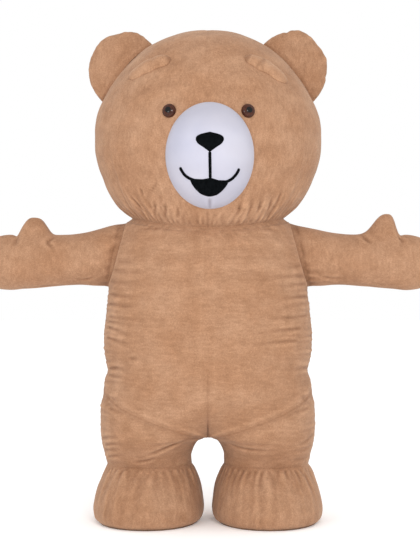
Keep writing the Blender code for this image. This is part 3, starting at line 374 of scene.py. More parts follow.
def normals_of(points, centre, ring=False):
    """Outward directions of a grid, from the faces round each point."""
    face = np.cross(points[1:, 1:] - points[:-1, :-1], points[1:, :-1] - points[:-1, 1:])
    total = np.zeros_like(points)
    for rows in (slice(None, -1), slice(1, None)):
        for columns in (slice(None, -1), slice(1, None)):
            total[rows, columns] += face
    if ring:
        total[:, 0] += total[:, -1]
        total[:, -1] = total[:, 0]
    for row in (0, -1):
        if np.ptp(points[row], axis=0).max() < 1e-6:
            total[row] = total[row].sum(axis=0)
    total *= np.sign((total * (points - np.array(centre))).sum())
    total[..., 0] = np.where(np.abs(points[..., 0]) < 1e-6, 0.0, total[..., 0])
    return total / np.maximum(np.linalg.norm(total, axis=2, keepdims=True), 1e-15)


def panel(name, points, centre, lift, side=1, ring=False, shade=0.0, calm=1.0):
    """Keeps a base grid with the height of its own gathers and puffs above it."""
    points = points * np.array([side, 1, 1])
    centre = (centre[0] * side, *centre[1:])
    PANELS[name] = {"base": points, "normal": normals_of(points, centre, ring), "lift": lift,
                    "centre": centre, "ring": ring, "shade": shade, "calm": calm}


def pinched(points, distance):
    """The neck seam drawn in, the same from the head and from the torso, except over the zip."""
    points = points.copy()
    off = points[..., :2] - np.array((0.0, SHIFT))
    pull = NECK_PINCH * bell(distance, 0.030)
    pull = pull * (1 - bell(off[..., 0], 0.09) * ease(off[..., 1] / 0.1))
    points[..., :2] -= off * (pull / np.maximum(np.linalg.norm(off, axis=2), 1e-9))[..., None]
    return points


def shell_faces(ids):
    """Faces of a grid of vertex numbers, with single points at collapsed rows."""
    corners = (ids[:-1, :-1], ids[:-1, 1:], ids[1:, 1:], ids[1:, :-1])
    faces = [list(dict.fromkeys(face)) for face in zip(*(corner.ravel().tolist() for corner in corners))]
    return [face for face in faces if len(face) > 2]


def placed(name, data):
    made = bpy.data.objects.new(name, data)
    SCENE.collection.objects.link(made)
    return made


def mesh_piece(name, points, faces, finish):
    """A piece with its faces turned outward."""
    mesh = bpy.data.meshes.new(name)
    mesh.from_pydata(points, [], faces)
    sheet = bmesh.new()
    sheet.from_mesh(mesh)
    bmesh.ops.recalc_face_normals(sheet, faces=sheet.faces)
    sheet.to_mesh(mesh)
    sheet.free()
    mesh.materials.append(finish)
    return placed(name, mesh)


def add_shell(name, outer, inner, ring, finish, fold=None):
    """A closed thin wall from an outer and an inner grid."""
    rows, columns = outer.shape[:2]
    ids = np.arange(rows * columns).reshape(rows, columns)
    if ring:
        ids[:, -1] = ids[:, 0]
    for row in (0, -1):
        if np.ptp(outer[row], axis=0).max() < 1e-6:
            ids[row] = ids[row, 0]
    count = rows * columns
    top = shell_faces(ids)
    faces = top + [[i + count for i in reversed(face)] for face in top]
    for line in (ids[0], ids[-1]) if ring else (ids[0], ids[-1], ids[:, 0], ids[:, -1]):
        line = line.tolist()
        faces += [[a, b, b + count, a + count] for a, b in zip(line, line[1:]) if a != b]
    used = np.zeros(2 * count, bool)
    used[[i for face in faces for i in face]] = True
    renumber = (np.cumsum(used) - 1).tolist()
    points = np.concatenate([outer.reshape(-1, 3), inner.reshape(-1, 3)])[used]
    made = mesh_piece(name, points.tolist(), [[renumber[i] for i in face] for face in faces], finish)
    made.data.shade_smooth()
    made.data.set_sharp_from_angle(angle=math.radians(SHARP_ANGLE))
    if fold is not None:
        values = np.concatenate([fold.ravel(), fold.ravel()])[used].astype(np.float32)
        made.data.attributes.new("fold", "FLOAT", "POINT").data.foreach_set("value", values)
    return made


# ---------------------------------------------------------------- gathers
# count, from, to, height, length, seed, how clear of the seam they start, full turn of a ring or 0
GATHERS = {
    "neck": (84, -1, 1, 0.0075, 0.100, 11, 1.2, 2),
    "neck long": (46, -1, 1, 0.0070, 0.200, 12, 3.0, 2),
    "neck faint": (90, -1, 1, 0.0026, 0.340, 13, 4.0, 2),
    "torso": (15, 0.705, 1.080, 0.0052, 0.170, 21, 3.0, 0),
    "torso ribs": (42, 0.600, 1.370, 0.0029, 0.260, 28, 2.4, 0),
    "leg": (12, 0.275, 0.600, 0.0052, 0.150, 31, 3.0, 0),
    "leg ribs": (18, 0.275, 0.600, 0.0026, 0.170, 40, 2.4, 0),
    "ankle": (22, 0, 2, 0.0035, 0.045, 36, 1.0, 0),
    "foot": (40, 0, 1, 0.0075, 0.105, 41, 1.3, 1),
    "foot long": (24, 0, 1, 0.0065, 0.180, 45, 3.0, 1),
    "foot faint": (64, 0, 1, 0.0030, 0.300, 49, 3.0, 1),
    "arm": (9, 0, 1, 0.005, 0.10, 51, 1.0, 0),
    "ear": (15, 0.05, 0.95, 0.0060, 0.040, 61, 1.0, 0),
}
CLEAR_OF_SEAM = 0.013
CHEEK = 0.0100
CHEEK_HEIGHT = 1.525


def gathers(kind, place, distance, number=0):
    """Ridges that run in from a seam, each with its own place, height, length, width and lean.

    The cloth between them sinks, so that on average the surface keeps its place.
    """
    count, low, high, height, length, seed, clear, wrap = GATHERS[kind]
    draw = np.random.default_rng(seed + number)
    steps = draw.uniform(0.55, 1.5, count)
    middles = low + (high - low) * (np.cumsum(steps) - steps / 2) / steps.sum()
    widths = (high - low) / steps.sum() * steps
    heights = height * draw.uniform(0.45, 1.3, count)
    lengths = length * draw.uniform(0.35, 1.35, count)
    leans = draw.uniform(-0.10, 0.10, count) * (high - low) / count / 0.03
    total = np.zeros(np.broadcast(place, distance).shape)
    for middle, width, tall, reach, lean in zip(middles, widths, heights, lengths, leans):
        off = place - middle - lean * distance
        if wrap:
            off = (off + wrap / 2) % wrap - wrap / 2
        opening = 0.30 * width * (1 + 0.7 * np.maximum(distance, 0) / reach)
        total += tall * bell(off, opening) * np.exp(-((distance / reach) ** 2) * 1.6)
    total -= 0.46 * height * np.exp(-((distance / (0.85 * length)) ** 2) * 1.6)
    return total * away(distance, CLEAR_OF_SEAM * clear)


def jowls(around, height, rise):
    """How far the air fills the lower cheeks out, most of all at the sides."""
    sideways = ease((0.32 - np.abs(around - 0.5)) / 0.20)
    return CHEEK * bell(height - CHEEK_HEIGHT, 0.075) * sideways * away(rise, 0.036)


def neck_gathers(turn, distance):
    """Gathers of the neck seam on the head: turn is -1 to 1 round the whole head."""
    return sum(gathers(kind, turn, distance) for kind in ("neck", "neck long", "neck faint"))


# ---------------------------------------------------------------- base panels
# how far from a seam the cloth is full: centre seams, side seams, gathered seams
CENTRE_SEAM = 0.012
SIDE_SEAM = 0.014
GATHERED_SEAM = 0.050
PUFF = 0.002
# how much painted shade darkens the cloth at the neck seam
NECK_SHADE = 0.20
HEAD_MIDDLE = (0, SHIFT, 1.8)
ZIP_BOTTOM = 0.640
ZIP_TOP = 1.3885
SEAM_GAP = 0.00015
ZIP_OPENING = 0.00635


def panel_number(back, turn):
    return 2 * back + (turn < 0)


def rows_above(points):
    """Distance over a grid from its first row, and from its last one."""
    top = arc(points, 0)
    return top, top[-1:] - top


def columns_across(points):
    """Distance over a grid from its first column, and from its last one."""
    first = arc(points, 1)
    return first, first[:, -1:] - first


def build_head_back(word, side):
    shares = spread((0.0, 34), (share_at_height(1.60, 0.5), 56), (1.0, 0))
    around = np.linspace(1.0, 0.5, 101)[None, :] + np.zeros((len(shares), 1))
    base = head_form(around, shares[:, None])
    rise = arc(base, 0)
    base = pinched(base, rise)
    centre, side_seam = columns_across(base)
    lift = 0.003 * away(centre, CENTRE_SEAM) * away(side_seam, SIDE_SEAM) * away(rise, GATHERED_SEAM)
    lift = lift + neck_gathers(around * side, rise) + jowls(around, base[..., 2], rise)
    panel(f"head_back_{word}", base, HEAD_MIDDLE, lift, side,
          shade=NECK_SHADE * bell(rise, 0.010), calm=away(rise, 0.03))


def build_head():
    bottom = share_at_height(MUZZLE_HEIGHT - MUZZLE_HALF_HEIGHT)
    top = share_at_height(MUZZLE_HEIGHT + MUZZLE_HALF_HEIGHT)
    low_rows = spread((0.0, 16), (bottom, 0))[:-1]
    high_rows = spread((top, 52), (1.0, 0))[1:]
    middle = bunched(bottom, top, 62)
    shares = np.concatenate([low_rows, middle, high_rows])
    inside = slice(len(low_rows) + 1, len(low_rows) + len(middle) - 1)
    columns = np.linspace(0.0, 1.0, 141)
    edges = {}
    for word, side in SIDES:
        edge = np.zeros(len(shares))
        edge[inside] = muzzle_edge(shares[inside], side)
        edges[side] = edge[len(low_rows):len(low_rows) + len(middle)]
        around = edge[:, None] + (0.5 - edge[:, None]) * columns
        base = head_form(around, np.broadcast_to(shares[:, None], around.shape))
        oval = np.maximum(muzzle_reach(base, side) - 1, 0.0) * 0.21
        rise = arc(base, 0)
        dip = NECK_DIP * np.maximum(0, np.cos(np.pi * around)) ** 2
        base = pinched(base, rise + base[:1, :, 2] - NECK_HEIGHT + dip)
        centre, side_seam = columns_across(base)
        height = base[..., 2]
        lift = 0.0015 * away(centre, CENTRE_SEAM) * away(side_seam, SIDE_SEAM) * away(rise, GATHERED_SEAM)
        lift = lift * away(oval, CENTRE_SEAM) + neck_gathers(around * side, rise) * away(oval, 0.02)
        lift = lift + jowls(around, height, rise)
        # painted shade along the centre seam at the crown and at the chin, and at the neck seam
        crown_and_chin = ease((height - 2.22) / 0.03) + ease((1.44 - height) / 0.02)
        panel(f"head_front_{word}", base, HEAD_MIDDLE, lift, side,
              shade=NECK_SHADE * bell(rise, 0.010) + 0.30 * (bell(centre, 0.004) * crown_and_chin),
              calm=away(rise, 0.03) * away(oval, 0.02))
        build_head_back(word, side)
    across = -np.cos(np.pi * np.arange(57) / 56)
    around = np.where(across > 0, edges[1][:, None], edges[-1][:, None]) * across
    base = muzzle_form(around, np.broadcast_to(middle[:, None], around.shape))
    reach = muzzle_reach(base)
    rim = ease((1 - reach) / 0.1)
    below = np.abs(base[..., 0] - MUZZLE_MIDDLE) / 0.006 + np.maximum(base[..., 2] - 1.475, 0) / 0.006
    seam = np.exp(-(below**2))
    # painted shade: darker at the muzzle's rim, over its top and along the dart at its lower edge
    painted_top_shade = 0.20 * ease((base[..., 2] - 1.74) / 0.12) * (1 - reach.clip(0, 1) ** 4)
    panel("muzzle", base, (0, SHIFT, MUZZLE_HEIGHT), np.zeros(around.shape) - 0.0012 * seam,
          shade=0.10 * reach**3 + painted_top_shade + 0.25 * seam * rim, calm=0.2 * rim)


def body_height(around, downs):
    return NECK_HEIGHT + (hip_seam_height(around) - NECK_HEIGHT) * downs


def zip_half_gap(height):
    """Half the slot between the two backs, where the zip shows."""
    open_to = ease((height - ZIP_BOTTOM) / 0.012) * ease((ZIP_TOP - height) / 0.003)
    return SEAM_GAP + ZIP_OPENING * open_to


def downs_at(heights):
    return (NECK_HEIGHT - heights) / (NECK_HEIGHT - hip_seam_height(0.5))


def torso_lift(number, turn, around, base, top, bottom, centre, side, at_hole):
    """The torso's fullness, its puckers at the side seam and its neck gathers."""
    level = base[..., 2]
    puff = PUFF * away(centre, CENTRE_SEAM) * away(top, GATHERED_SEAM) * away(bottom, 0.040)
    lift = puff * away(side, 0.013) + 0.006 * at_hole * away(side, 0.008) * bell(side, 0.04)
    in_place = ease((level - 0.70) / 0.04) * ease((1.085 - level) / 0.03)
    lift = lift + gathers("torso", level, side, number) * in_place
    ribs = ease((level - 0.60) / 0.05) * ease((1.36 - level) / 0.06)
    lift = lift + gathers("torso ribs", level, side, number) * ribs * (1 - 0.6 * at_hole)
    return lift + 0.35 * neck_gathers(around * turn, top * 2.4)


def build_torso():
    hole = downs_at(bunched(ARMHOLE_MIDDLE + ARMHOLE_HALF_HEIGHT, ARMHOLE_MIDDLE - ARMHOLE_HALF_HEIGHT, 46))
    for back in (False, True):
        below = 74 if back else 96
        over, under = spread((0.0, 5), (hole[0], 0))[:-1], spread((hole[-1], below), (1.0, 0))[1:]
        downs = np.concatenate([over, hole, under])
        around = armhole_edge(downs)[:, None] * np.linspace(0.0, 1.0, 71 if back else 95)
        around = 1 - around if back else around
        base = body_form(around, body_height(around, downs[:, None]))
        base[:, 0, 0] = zip_half_gap(base[:, 0, 2]) if back else 0.0
        top = arc(base, 0)
        base = pinched(base, top)
        bottom = top[-1:] - top
        centre, side = columns_across(base)
        level = base[..., 2]
        near_zip = back * bell(centre, 0.03) * ease((1.43 - level) / 0.03) * ease((level - 0.60) / 0.03)
        at_hole = 1 - ease((np.abs(level - ARMHOLE_MIDDLE) - 0.13) / 0.05)
        # painted shade along the centre front seam low on the belly, at the neck seam and at the hip seam
        front_seam = 0.20 * (not back) * bell(centre, 0.0045) * ease((0.76 - level) / 0.10)
        for word, turn in SIDES:
            lift = torso_lift(panel_number(back, turn), turn, around, base, top, bottom, centre, side, at_hole)
            lift = lift * (1 - near_zip) + 0.004 * bell(bottom - 0.035, 0.03) * away(bottom, 0.02)
            panel(f"torso_{HALVES[back]}_{word}", base, (0, SHIFT, 0.9), lift, turn,
                  shade=0.16 * bell(top, 0.010) + 0.26 * bell(bottom, 0.007) * away(centre, 0.02) + front_seam,
                  calm=away(top, 0.03) * (1 - at_hole * bell(side, 0.02)) * (1 - near_zip))


def build_legs():
    downs = np.linspace(0.0, 1.0, 61)
    for back in (False, True):
        columns = np.linspace(0.0, 0.5, 81 if back else 101)
        around = np.broadcast_to(1 - columns if back else columns, (len(downs), len(columns)))
        top_height = hip_seam_height(around)
        base = body_form(around, top_height + (ANKLE_HEIGHT - top_height) * downs[:, None])
        top, bottom = rows_above(base)
        inner, outer = columns_across(base)
        level = base[..., 2]
        in_place = ease((level - 0.270) / 0.03) * ease((0.600 - level) / 0.03)
        for word, turn in SIDES:
            number = panel_number(back, turn)
            lift = PUFF * away(inner, SIDE_SEAM) * away(outer, CENTRE_SEAM)
            lift = lift * away(top, 0.040) * away(bottom, 0.040)
            for kind in ("leg", "leg ribs"):
                lift = lift + gathers(kind, level, outer, number) * in_place * away(top, 0.03)
            lift = lift + gathers("ankle", around * 2, bottom, number)
            lift = lift - 0.004 * bell(top - 0.03, 0.03) * ease(inner / 0.03) * away(top, 0.02)
            panel(f"leg_{HALVES[back]}_{word}", base, (0.25, SHIFT, 0.44), lift, turn,
                  shade=0.38 * bell(top, 0.018) + 0.16 * bell(bottom, 0.008), calm=away(bottom, 0.025))


def build_feet():
    downs = spread((0.0, 30), (0.45, 26), (1.0, 0))
    around = np.linspace(0.0, 1.0, 241)[None, :] + np.zeros((len(downs), 1))
    base = foot_form(around, downs[:, None] + np.zeros(around.shape))
    seam = body_form(around[0], np.full(around.shape[1], ANKLE_HEIGHT))
    near = (1 - ease(downs / 0.08))[:, None, None]
    base = base + (seam - base[0])[None] * near
    base[:, -1] = base[:, 0]
    top, bottom = rows_above(base)
    for word, side in SIDES:
        lift = PUFF * away(top, 0.040) * away(bottom, 0.010)
        for kind in ("foot", "foot long", "foot faint"):
            lift = lift + gathers(kind, around, top, side < 0)
        lift[:, -1] = lift[:, 0]
        panel(f"foot_{word}", base, (0.275, SHIFT, 0.1), lift, side, ring=True,
              shade=0.12 * bell(top, 0.012), calm=away(top, 0.025) * away(bottom, 0.01))


def build_arms():
    places = 1 - np.cos(np.pi * np.arange(81) / 80)
    places = places / 2 * 0.5 + np.linspace(0, 1, 81) * 0.5
    downs = downs_at(ARMHOLE_MIDDLE - ARMHOLE_HALF_HEIGHT * np.cos(np.pi * places))
    edge = armhole_edge(downs)
    start = np.interp(ARM_START, [row[0] for row in ARM], ARM_SHARES)
    shares = spread((start, 70), (0.94, 16), (1.0, 0))
    join = np.linspace(0.0, 1.0, 13)[:-1, None, None]
    for back in (False, True):
        root_around = 1 - edge if back else edge
        root = body_form(root_around, body_height(root_around, downs))
        for word, side in SIDES:
            arm = arm_form(places[None, :] + np.zeros((len(shares), 1)), shares[:, None], THUMBS[word])
            if back:
                arm[..., 1] = 2 * SHIFT - arm[..., 1]
            base = np.concatenate([root[None] * (1 - join) + arm[0][None] * join, arm])
            out = arc(base, 0)
            low, high = columns_across(base)
            lift = 0.003 * away(out, 0.05) - 0.006 * away(out, 0.008) * bell(out, 0.04)
            lift = lift * away(low, CENTRE_SEAM) * away(high, CENTRE_SEAM)
            lift = lift + gathers("arm", np.broadcast_to(places, out.shape), out, panel_number(back, side))
            # painted shade at the arm's root, deeper towards the armpit
            armpit = 0.14 * ease((1.26 - base[..., 2]) / 0.1)
            panel(f"arm_{HALVES[back]}_{word}", base, (0.7, SHIFT, 1.22), lift, side,
                  shade=(0.30 + armpit) * bell(out, 0.045), calm=away(out, 0.02))


# ---------------------------------------------------------------- creases placed one by one
# where (f front, b back), depth and half width in tenths of a millimetre, taper (b both ends, s from its
# start), then x and z of each point in millimetres
CREASE_TABLE = """
f 60 65 s  -455 1211  -372 1200  -318 1198
f 70 65 s  -455 1175  -372 1164  -263 1161
f 60 65 s  -455 1120  -372 1109  -295 1107
f 70 65 s  -455 1061  -372 1050  -263 1048
f 50 65 s  -455 1015  -372 1004  -327 1002
f 60 65 s  -455 956  -372 945  -272 943
f 70 55 s  -459 936  -372 925  -290 920
f 70 55 s  -459 908  -400 891  -345 872
f 70 60 s  -464 863  -400 845  -345 829
f 50 50 b  -363 772  -340 770  -309 770
f 80 70 s  -455 716  -404 722  -363 713
f 60 65 s  461 1192  374 1184  292 1182
f 70 65 s  461 1146  374 1139  246 1136
f 70 65 s  461 1051  374 1043  265 1041
f 50 65 s  461 1014  374 1007  328 1004
f 60 65 s  461 960  374 952  228 950
f 60 60 s  452 1105  365 1100  306 1086
f 65 60 s  433 905  292 895  196 886
f 60 60 s  415 851  292 845  192 836
f 80 70 s  474 717  419 722  378 713
f 60 70 b  -326 1355  -214 1355  -106 1337
f 40 60 b  184 1351  260 1355  328 1342
f 60 50 b  -267 1507  -239 1535  -218 1563
f 60 50 b  -352 1512  -329 1487  -312 1463
f 60 50 b  -308 1543  -295 1521  -290 1498
f 60 50 b  -344 1498  -309 1463  -281 1427
f 60 50 b  144 1481  140 1442  128 1404
f 60 50 b  193 1481  187 1442  173 1404
f 60 50 b  238 1481  230 1449  216 1418
f 60 50 b  287 1498  280 1463  265 1427
f 60 50 b  -187 1476  -188 1438  -196 1400
f 60 50 b  -133 1454  -132 1425  -138 1396
f 60 50 b  -236 1485  -235 1451  -241 1418
f 60 50 b  328 1525  320 1494  305 1463
f 90 75 b  -88 403  -161 376  -230 349  -283 331
f 60 60 b  -235 320  -297 300  -341 296
f 60 75 b  81 385  157 363  241 354  317 358
f 70 50 s  -491 393  -440 407  -403 411
f 70 50 s  -479 361  -421 377  -377 384
f 70 50 s  -479 338  -430 351  -394 356
f 70 50 s  -463 306  -417 319  -385 324
f 60 50 s  492 408  437 384  395 370
f 60 50 s  487 359  425 347  377 342
f 60 50 s  478 302  409 299  354 301
f 60 50 s  492 446  446 436  414 434
f 60 60 s  -454 540  -409 524  -377 517
f 60 60 s  -463 580  -422 583  -394 590
f 60 60 s  465 539  418 526  386 521
f 60 60 s  474 591  432 588  405 590
f 80 60 b  -718 1321  -740 1294  -721 1266
f 80 60 s  -884 1326  -892 1298  -894 1275
f 70 60 b  717 1335  736 1308  763 1289
f 80 60 s  886 1324  905 1294  898 1275
f 50 60 b  -910 1086  -785 1097  -679 1106
f 50 60 b  699 1109  768 1098  870 1086
f 60 60 s  -531 1137  -563 1127  -619 1127
f 60 60 s  528 1141  592 1132  657 1136
b 55 60 s  -450 1179  -359 1168  -281 1173
b 55 60 s  461 1155  369 1150  274 1159
b 61 60 s  -455 1093  -379 1082  -318 1082
b 62 60 s  465 1069  390 1063  310 1068
b 67 60 s  -459 1019  -350 1009  -254 1004
b 55 60 s  470 996  360 991  246 1000
b 55 60 s  -464 924  -379 913  -309 918
b 62 60 s  474 901  390 895  301 900
b 61 60 s  -464 847  -393 836  -336 836
b 55 60 s  474 823  403 818  328 827
b 67 60 s  -455 726  -406 713  -372 709
b 62 60 s  465 701  417 695  365 699
b 80 75 b  -97 398  -177 371  -257 345  -306 340
b 70 70 b  112 394  197 371  277 345
b 60 60 b  303 318  241 305  183 309
b 60 50 b  -259 1516  -233 1543  -214 1570
b 60 50 b  -326 1498  -295 1465  -272 1431
b 60 50 b  243 1485  235 1449  220 1413
b 60 50 b  171 1467  168 1434  158 1400
b 60 50 b  -120 1458  -121 1427  -129 1396
b 60 50 b  -4 1449  2 1422  1 1396
b 60 50 b  81 1463  81 1434  73 1404
b 65 50 s  -486 382  -433 390  -394 397
b 65 50 s  -472 331  -417 340  -376 347
b 65 50 s  487 395  432 388  391 384
b 65 50 s  478 331  421 324  377 319
b 70 60 b  -730 1317  -748 1289  -730 1261
b 70 60 b  731 1331  750 1303  773 1284
"""


def read_creases(table):
    for row in table.strip().splitlines():
        where, depth, width, taper, *places = row.split()
        places = [int(place) / 1000 for place in places]
        yield where, list(zip(places[::2], places[1::2])), int(depth) / 10000, int(width) / 10000, taper


ROUTE_STEP = 0.008


def crease_line(where, points, form):
    """The crease's route on the plain form, from three or more (x, z) points."""
    sign = -1 if where == "f" else 1
    route = np.array(points, float)
    steps = steps_along(route)
    ways = [curve(np.column_stack([steps, route[:, k]])) for k in (0, 1)]
    found = []
    for at in np.linspace(0, steps[-1], max(int(steps[-1] / ROUTE_STEP), 6)):
        x, z = (float(way(at)[1]) for way in ways)
        spot = form.ray_cast(Vector((x, 3 * sign, z)), Vector((0, -sign, 0)))[0]
        if spot:
            found.append(spot[:])
    return np.array(found)


def crease_lift(points, route, depth, width, taper):
    """A trough along a route, with a low shoulder on each side."""
    flat = points.reshape(-1, 3)
    low, high = route.min(0) - 4 * width, route.max(0) + 4 * width
    near = np.flatnonzero(((flat > low) & (flat < high)).all(axis=1))
    total = np.zeros(len(flat))
    if not len(near):
        return total.reshape(points.shape[:2])
    spot = flat[near]
    best = np.full(len(near), 1e9)
    along = np.zeros(len(near))
    lengths = np.linalg.norm(np.diff(route, axis=0), axis=1)
    starts = steps_along(route)
    for a, b, length, start in zip(route, route[1:], lengths, starts):
        if length < 1e-9:
            continue
        t = np.clip(((spot - a) @ (b - a)) / length**2, 0, 1)
        off = np.linalg.norm(spot - a - t[:, None] * (b - a), axis=1)
        closer = off < best
        best = np.where(closer, off, best)
        along = np.where(closer, (start + t * length) / starts[-1], along)
    along = np.clip(along, 0, 1)
    strength = np.sin(np.pi * along) ** 0.9
    if taper == "s":
        strength = away(along, 0.10) * np.cos(np.pi / 2 * along) ** 0.8
    wide = width * (0.7 + 0.5 * along) if taper == "s" else width
    shoulder = 0.32 * bell(best - 2.0 * wide, 1.1 * wide)
    total[near] = depth * strength * (shoulder - bell(best, wide))
    return total.reshape(points.shape[:2])


# seed, how many waves, the shortest and the longest, the height of each
DENTS = (5, 18, 0.09, 0.34, 0.00032)


def unevenness(points):
    """Broad soft dents, the same on both sides of every seam."""
    seed, waves, shortest, longest, height = DENTS
    draw = np.random.default_rng(seed)
    total = np.zeros(points.shape[:2])
    for _ in range(waves):
        way = draw.normal(size=3)
        way *= 2 * np.pi / draw.uniform(shortest, longest) / np.linalg.norm(way)
        total += height * np.sin(points @ way + draw.uniform(0, 6.3))
    return total


# ---------------------------------------------------------------- materials
def nodes_of(name):
    made = bpy.data.materials.new(name)
    made.use_nodes = True
    return made, made.node_tree, made.node_tree.nodes["Principled BSDF"]


def add_node(tree, kind, **values):
    """A node with its settings and its inputs' values, whose names have _ for a space."""
    node = tree.nodes.new(kind)
    for key, value in values.items():
        if hasattr(node, key):
            setattr(node, key, value)
        else:
            node.inputs[key.replace("_", " ")].default_value = value
    return node


def noise(tree, scale, detail=2.0, roughness=0.5, stretch=None):
    place = add_node(tree, "ShaderNodeTexCoord").outputs["Object"]
    if stretch:
        turned = add_node(tree, "ShaderNodeMapping", Scale=stretch)
        tree.links.new(place, turned.inputs["Vector"])
        place = turned.outputs["Vector"]
    made = add_node(tree, "ShaderNodeTexNoise", Scale=scale, Detail=detail, Roughness=roughness)
    tree.links.new(place, made.inputs["Vector"])
    return made.outputs["Fac"]


def ramp(tree, source, low, high, dark, light):
    made = tree.nodes.new("ShaderNodeValToRGB")
    for stop, position, tone in zip(made.color_ramp.elements, (low, high), (dark, light)):
        stop.position = position
        stop.color = (*tone, 1)
    tree.links.new(source, made.inputs["Fac"])
    return made.outputs["Color"]


def multiplied(tree, colour, *layers):
    """Colours multiplied, one on the other."""
    for layer in layers:
        made = add_node(tree, "ShaderNodeMix", data_type="RGBA", blend_type="MULTIPLY")
        made.inputs[0].default_value = 1.0
        slots = {slot.name: slot for slot in made.inputs if slot.type == "RGBA"}
        tree.links.new(colour, slots["A"])
        tree.links.new(layer, slots["B"])
        colour = [slot for slot in made.outputs if slot.type == "RGBA"][0]
    return colour


def finished(nodes, colour, bumps, **values):
    """A material with its colour, its bumps of (height, strength, distance) and its shader's values."""
    made, tree, shader = nodes
    tree.links.new(colour, shader.inputs["Base Color"])
    last = None
    for height, strength, distance in bumps:
        bump = add_node(tree, "ShaderNodeBump", Strength=strength, Distance=distance)
        tree.links.new(height, bump.inputs["Height"])
        if last:
            tree.links.new(last, bump.inputs["Normal"])
        last = bump.outputs["Normal"]
    tree.links.new(last, shader.inputs["Normal"])
    for key, value in values.items():
        shader.inputs[key.replace("_", " ")].default_value = value
    return made


def folded(tree, low, high, dark, light):
    """A tone from the fold attribute, which holds painted shade and painted light: lower in troughs and at
    shaded seams, higher on crests.
    """
    fold = add_node(tree, "ShaderNodeAttribute", attribute_name="fold").outputs["Fac"]
    return ramp(tree, fold, low, high, dark, light)


# noise scale, detail and roughness, then the ramp's stops and tones
PLUSH_TONES = (
    (300, 3, 0.65, 0.30, 0.72, (0.76, 0.75, 0.74), (1.12, 1.12, 1.12)),
    (26, 3, 0.55, 0.34, 0.68, (0.92, 0.91, 0.90), (1.04, 1.05, 1.06)),
    (130, 2, 0.60, 0.32, 0.70, (0.90, 0.89, 0.88), (1.06, 1.06, 1.06)),
)


def plush(name, brush):
    """The tan plush, with its pile brushed one way, and painted shade and painted light that follow its folds.
    """
    nodes = nodes_of(name)
    tree = nodes[1]
    cloudy = ramp(tree, noise(tree, 7, 3), 0.36, 0.66, (0.466, 0.251, 0.141), (0.524, 0.301, 0.180))
    brushed = ramp(tree, noise(tree, 70, 3, 0.65, brush), 0.32, 0.70, (0.87, 0.86, 0.85), (1.05, 1.06, 1.07))
    tones = [ramp(tree, noise(tree, *row[:3]), *row[3:]) for row in PLUSH_TONES]
    # painted shade in the troughs and along shaded seams, painted light on the crests, from the fold attribute
    painted_fold_shading = folded(tree, 0.0, 1.0, (0.60, 0.54, 0.51), (1.07, 1.08, 1.09))
    bumps = (noise(tree, 60, 3, 0.6), 0.35, 0.004), (noise(tree, 480, 2, 0.6), 0.55, 0.0016)
    colour = multiplied(tree, cloudy, brushed, *tones, painted_fold_shading)
    return finished(nodes, colour, bumps, Roughness=0.95, Specular_IOR_Level=0.15, Sheen_Weight=0.20,
                    Sheen_Roughness=0.45, Sheen_Tint=(1.0, 0.85, 0.72, 1))


def plain_cloth(name, dark, light, scale, roughness, strength, sheen, gloss, shaded=False):
    nodes = nodes_of(name)
    tree = nodes[1]
    colour = ramp(tree, noise(tree, scale, 3), 0.35, 0.68, dark, light)
    if shaded:
        colour = multiplied(tree, colour, folded(tree, 0.1, 0.62, (0.55, 0.52, 0.53), (1.0, 1.0, 1.0)))
    return finished(nodes, colour, [(noise(tree, 640, 2, 0.6), strength, 0.0008)], Roughness=roughness,
                    Specular_IOR_Level=gloss, Sheen_Weight=sheen, Sheen_Roughness=0.4)


def hard(name, dark, light, roughness, coat=0.0, scale=120, gloss=0.5):
    nodes = nodes_of(name)
    tree = nodes[1]
    return finished(nodes, ramp(tree, noise(tree, scale, 3), 0.35, 0.68, dark, light),
                    [(noise(tree, scale * 4, 2), 0.08, 0.0003)], Roughness=roughness, Specular_IOR_Level=gloss,
                    Coat_Weight=coat, Coat_Roughness=0.03)


def bands(tree, direction, pitch):
    """Even ridges across one direction, at a pitch in metres."""
    made = add_node(tree, "ShaderNodeTexWave", wave_type="BANDS", bands_direction=direction, wave_profile="SIN",
                    Scale=2 * math.pi / (20 * pitch))
    tree.links.new(add_node(tree, "ShaderNodeTexCoord").outputs["Object"], made.inputs["Vector"])
    return made.outputs["Fac"]


def woven(name, dark, light, pitch, directions, roughness, soil=0.0):
    """Flat woven cloth: two sets of threads, uneven dye and a little soil."""
    nodes = nodes_of(name)
    tree = nodes[1]
    layers = [ramp(tree, bands(tree, way, pitch), 0.15, 0.85, (0.78, 0.77, 0.76), (1.08, 1.08, 1.08))
              for way in directions]
    if soil:
        layers.append(ramp(tree, noise(tree, 5, 5, 0.65), 0.48, 0.74, (1.0,) * 3, (1 - soil,) * 3))
    bumps = [(bands(tree, way, pitch), 0.5, pitch * 0.25) for way in directions]
    bumps.append((noise(tree, 900, 2, 0.6), 0.35, 0.0003))
    dye = ramp(tree, noise(tree, 14, 4, 0.6), 0.34, 0.68, dark, light)
    return finished(nodes, multiplied(tree, dye, *layers), bumps, Roughness=roughness, Specular_IOR_Level=0.25)


def worn_metal(name, dark, light):
    """Die-cast metal: brushed along its length, rubbed bright, with fine pits."""
    nodes = nodes_of(name)
    _, tree, shader = nodes
    along = (1.0, 1.0, 0.08)
    brushed = ramp(tree, noise(tree, 420, 4, 0.6, along), 0.32, 0.70, dark, light)
    rubbed = ramp(tree, noise(tree, 60, 3, 0.6), 0.35, 0.68, (0.80, 0.79, 0.77), (1.08, 1.08, 1.08))
    gloss = ramp(tree, noise(tree, 90, 3, 0.6), 0.3, 0.7, (0.22,) * 3, (0.44,) * 3)
    tree.links.new(gloss, shader.inputs["Roughness"])
    bumps = (noise(tree, 420, 3, 0.6, along), 0.12, 0.0002), (noise(tree, 1500, 2), 0.10, 0.0001)
    return finished(nodes, multiplied(tree, brushed, rubbed), bumps, Metallic=1.0)


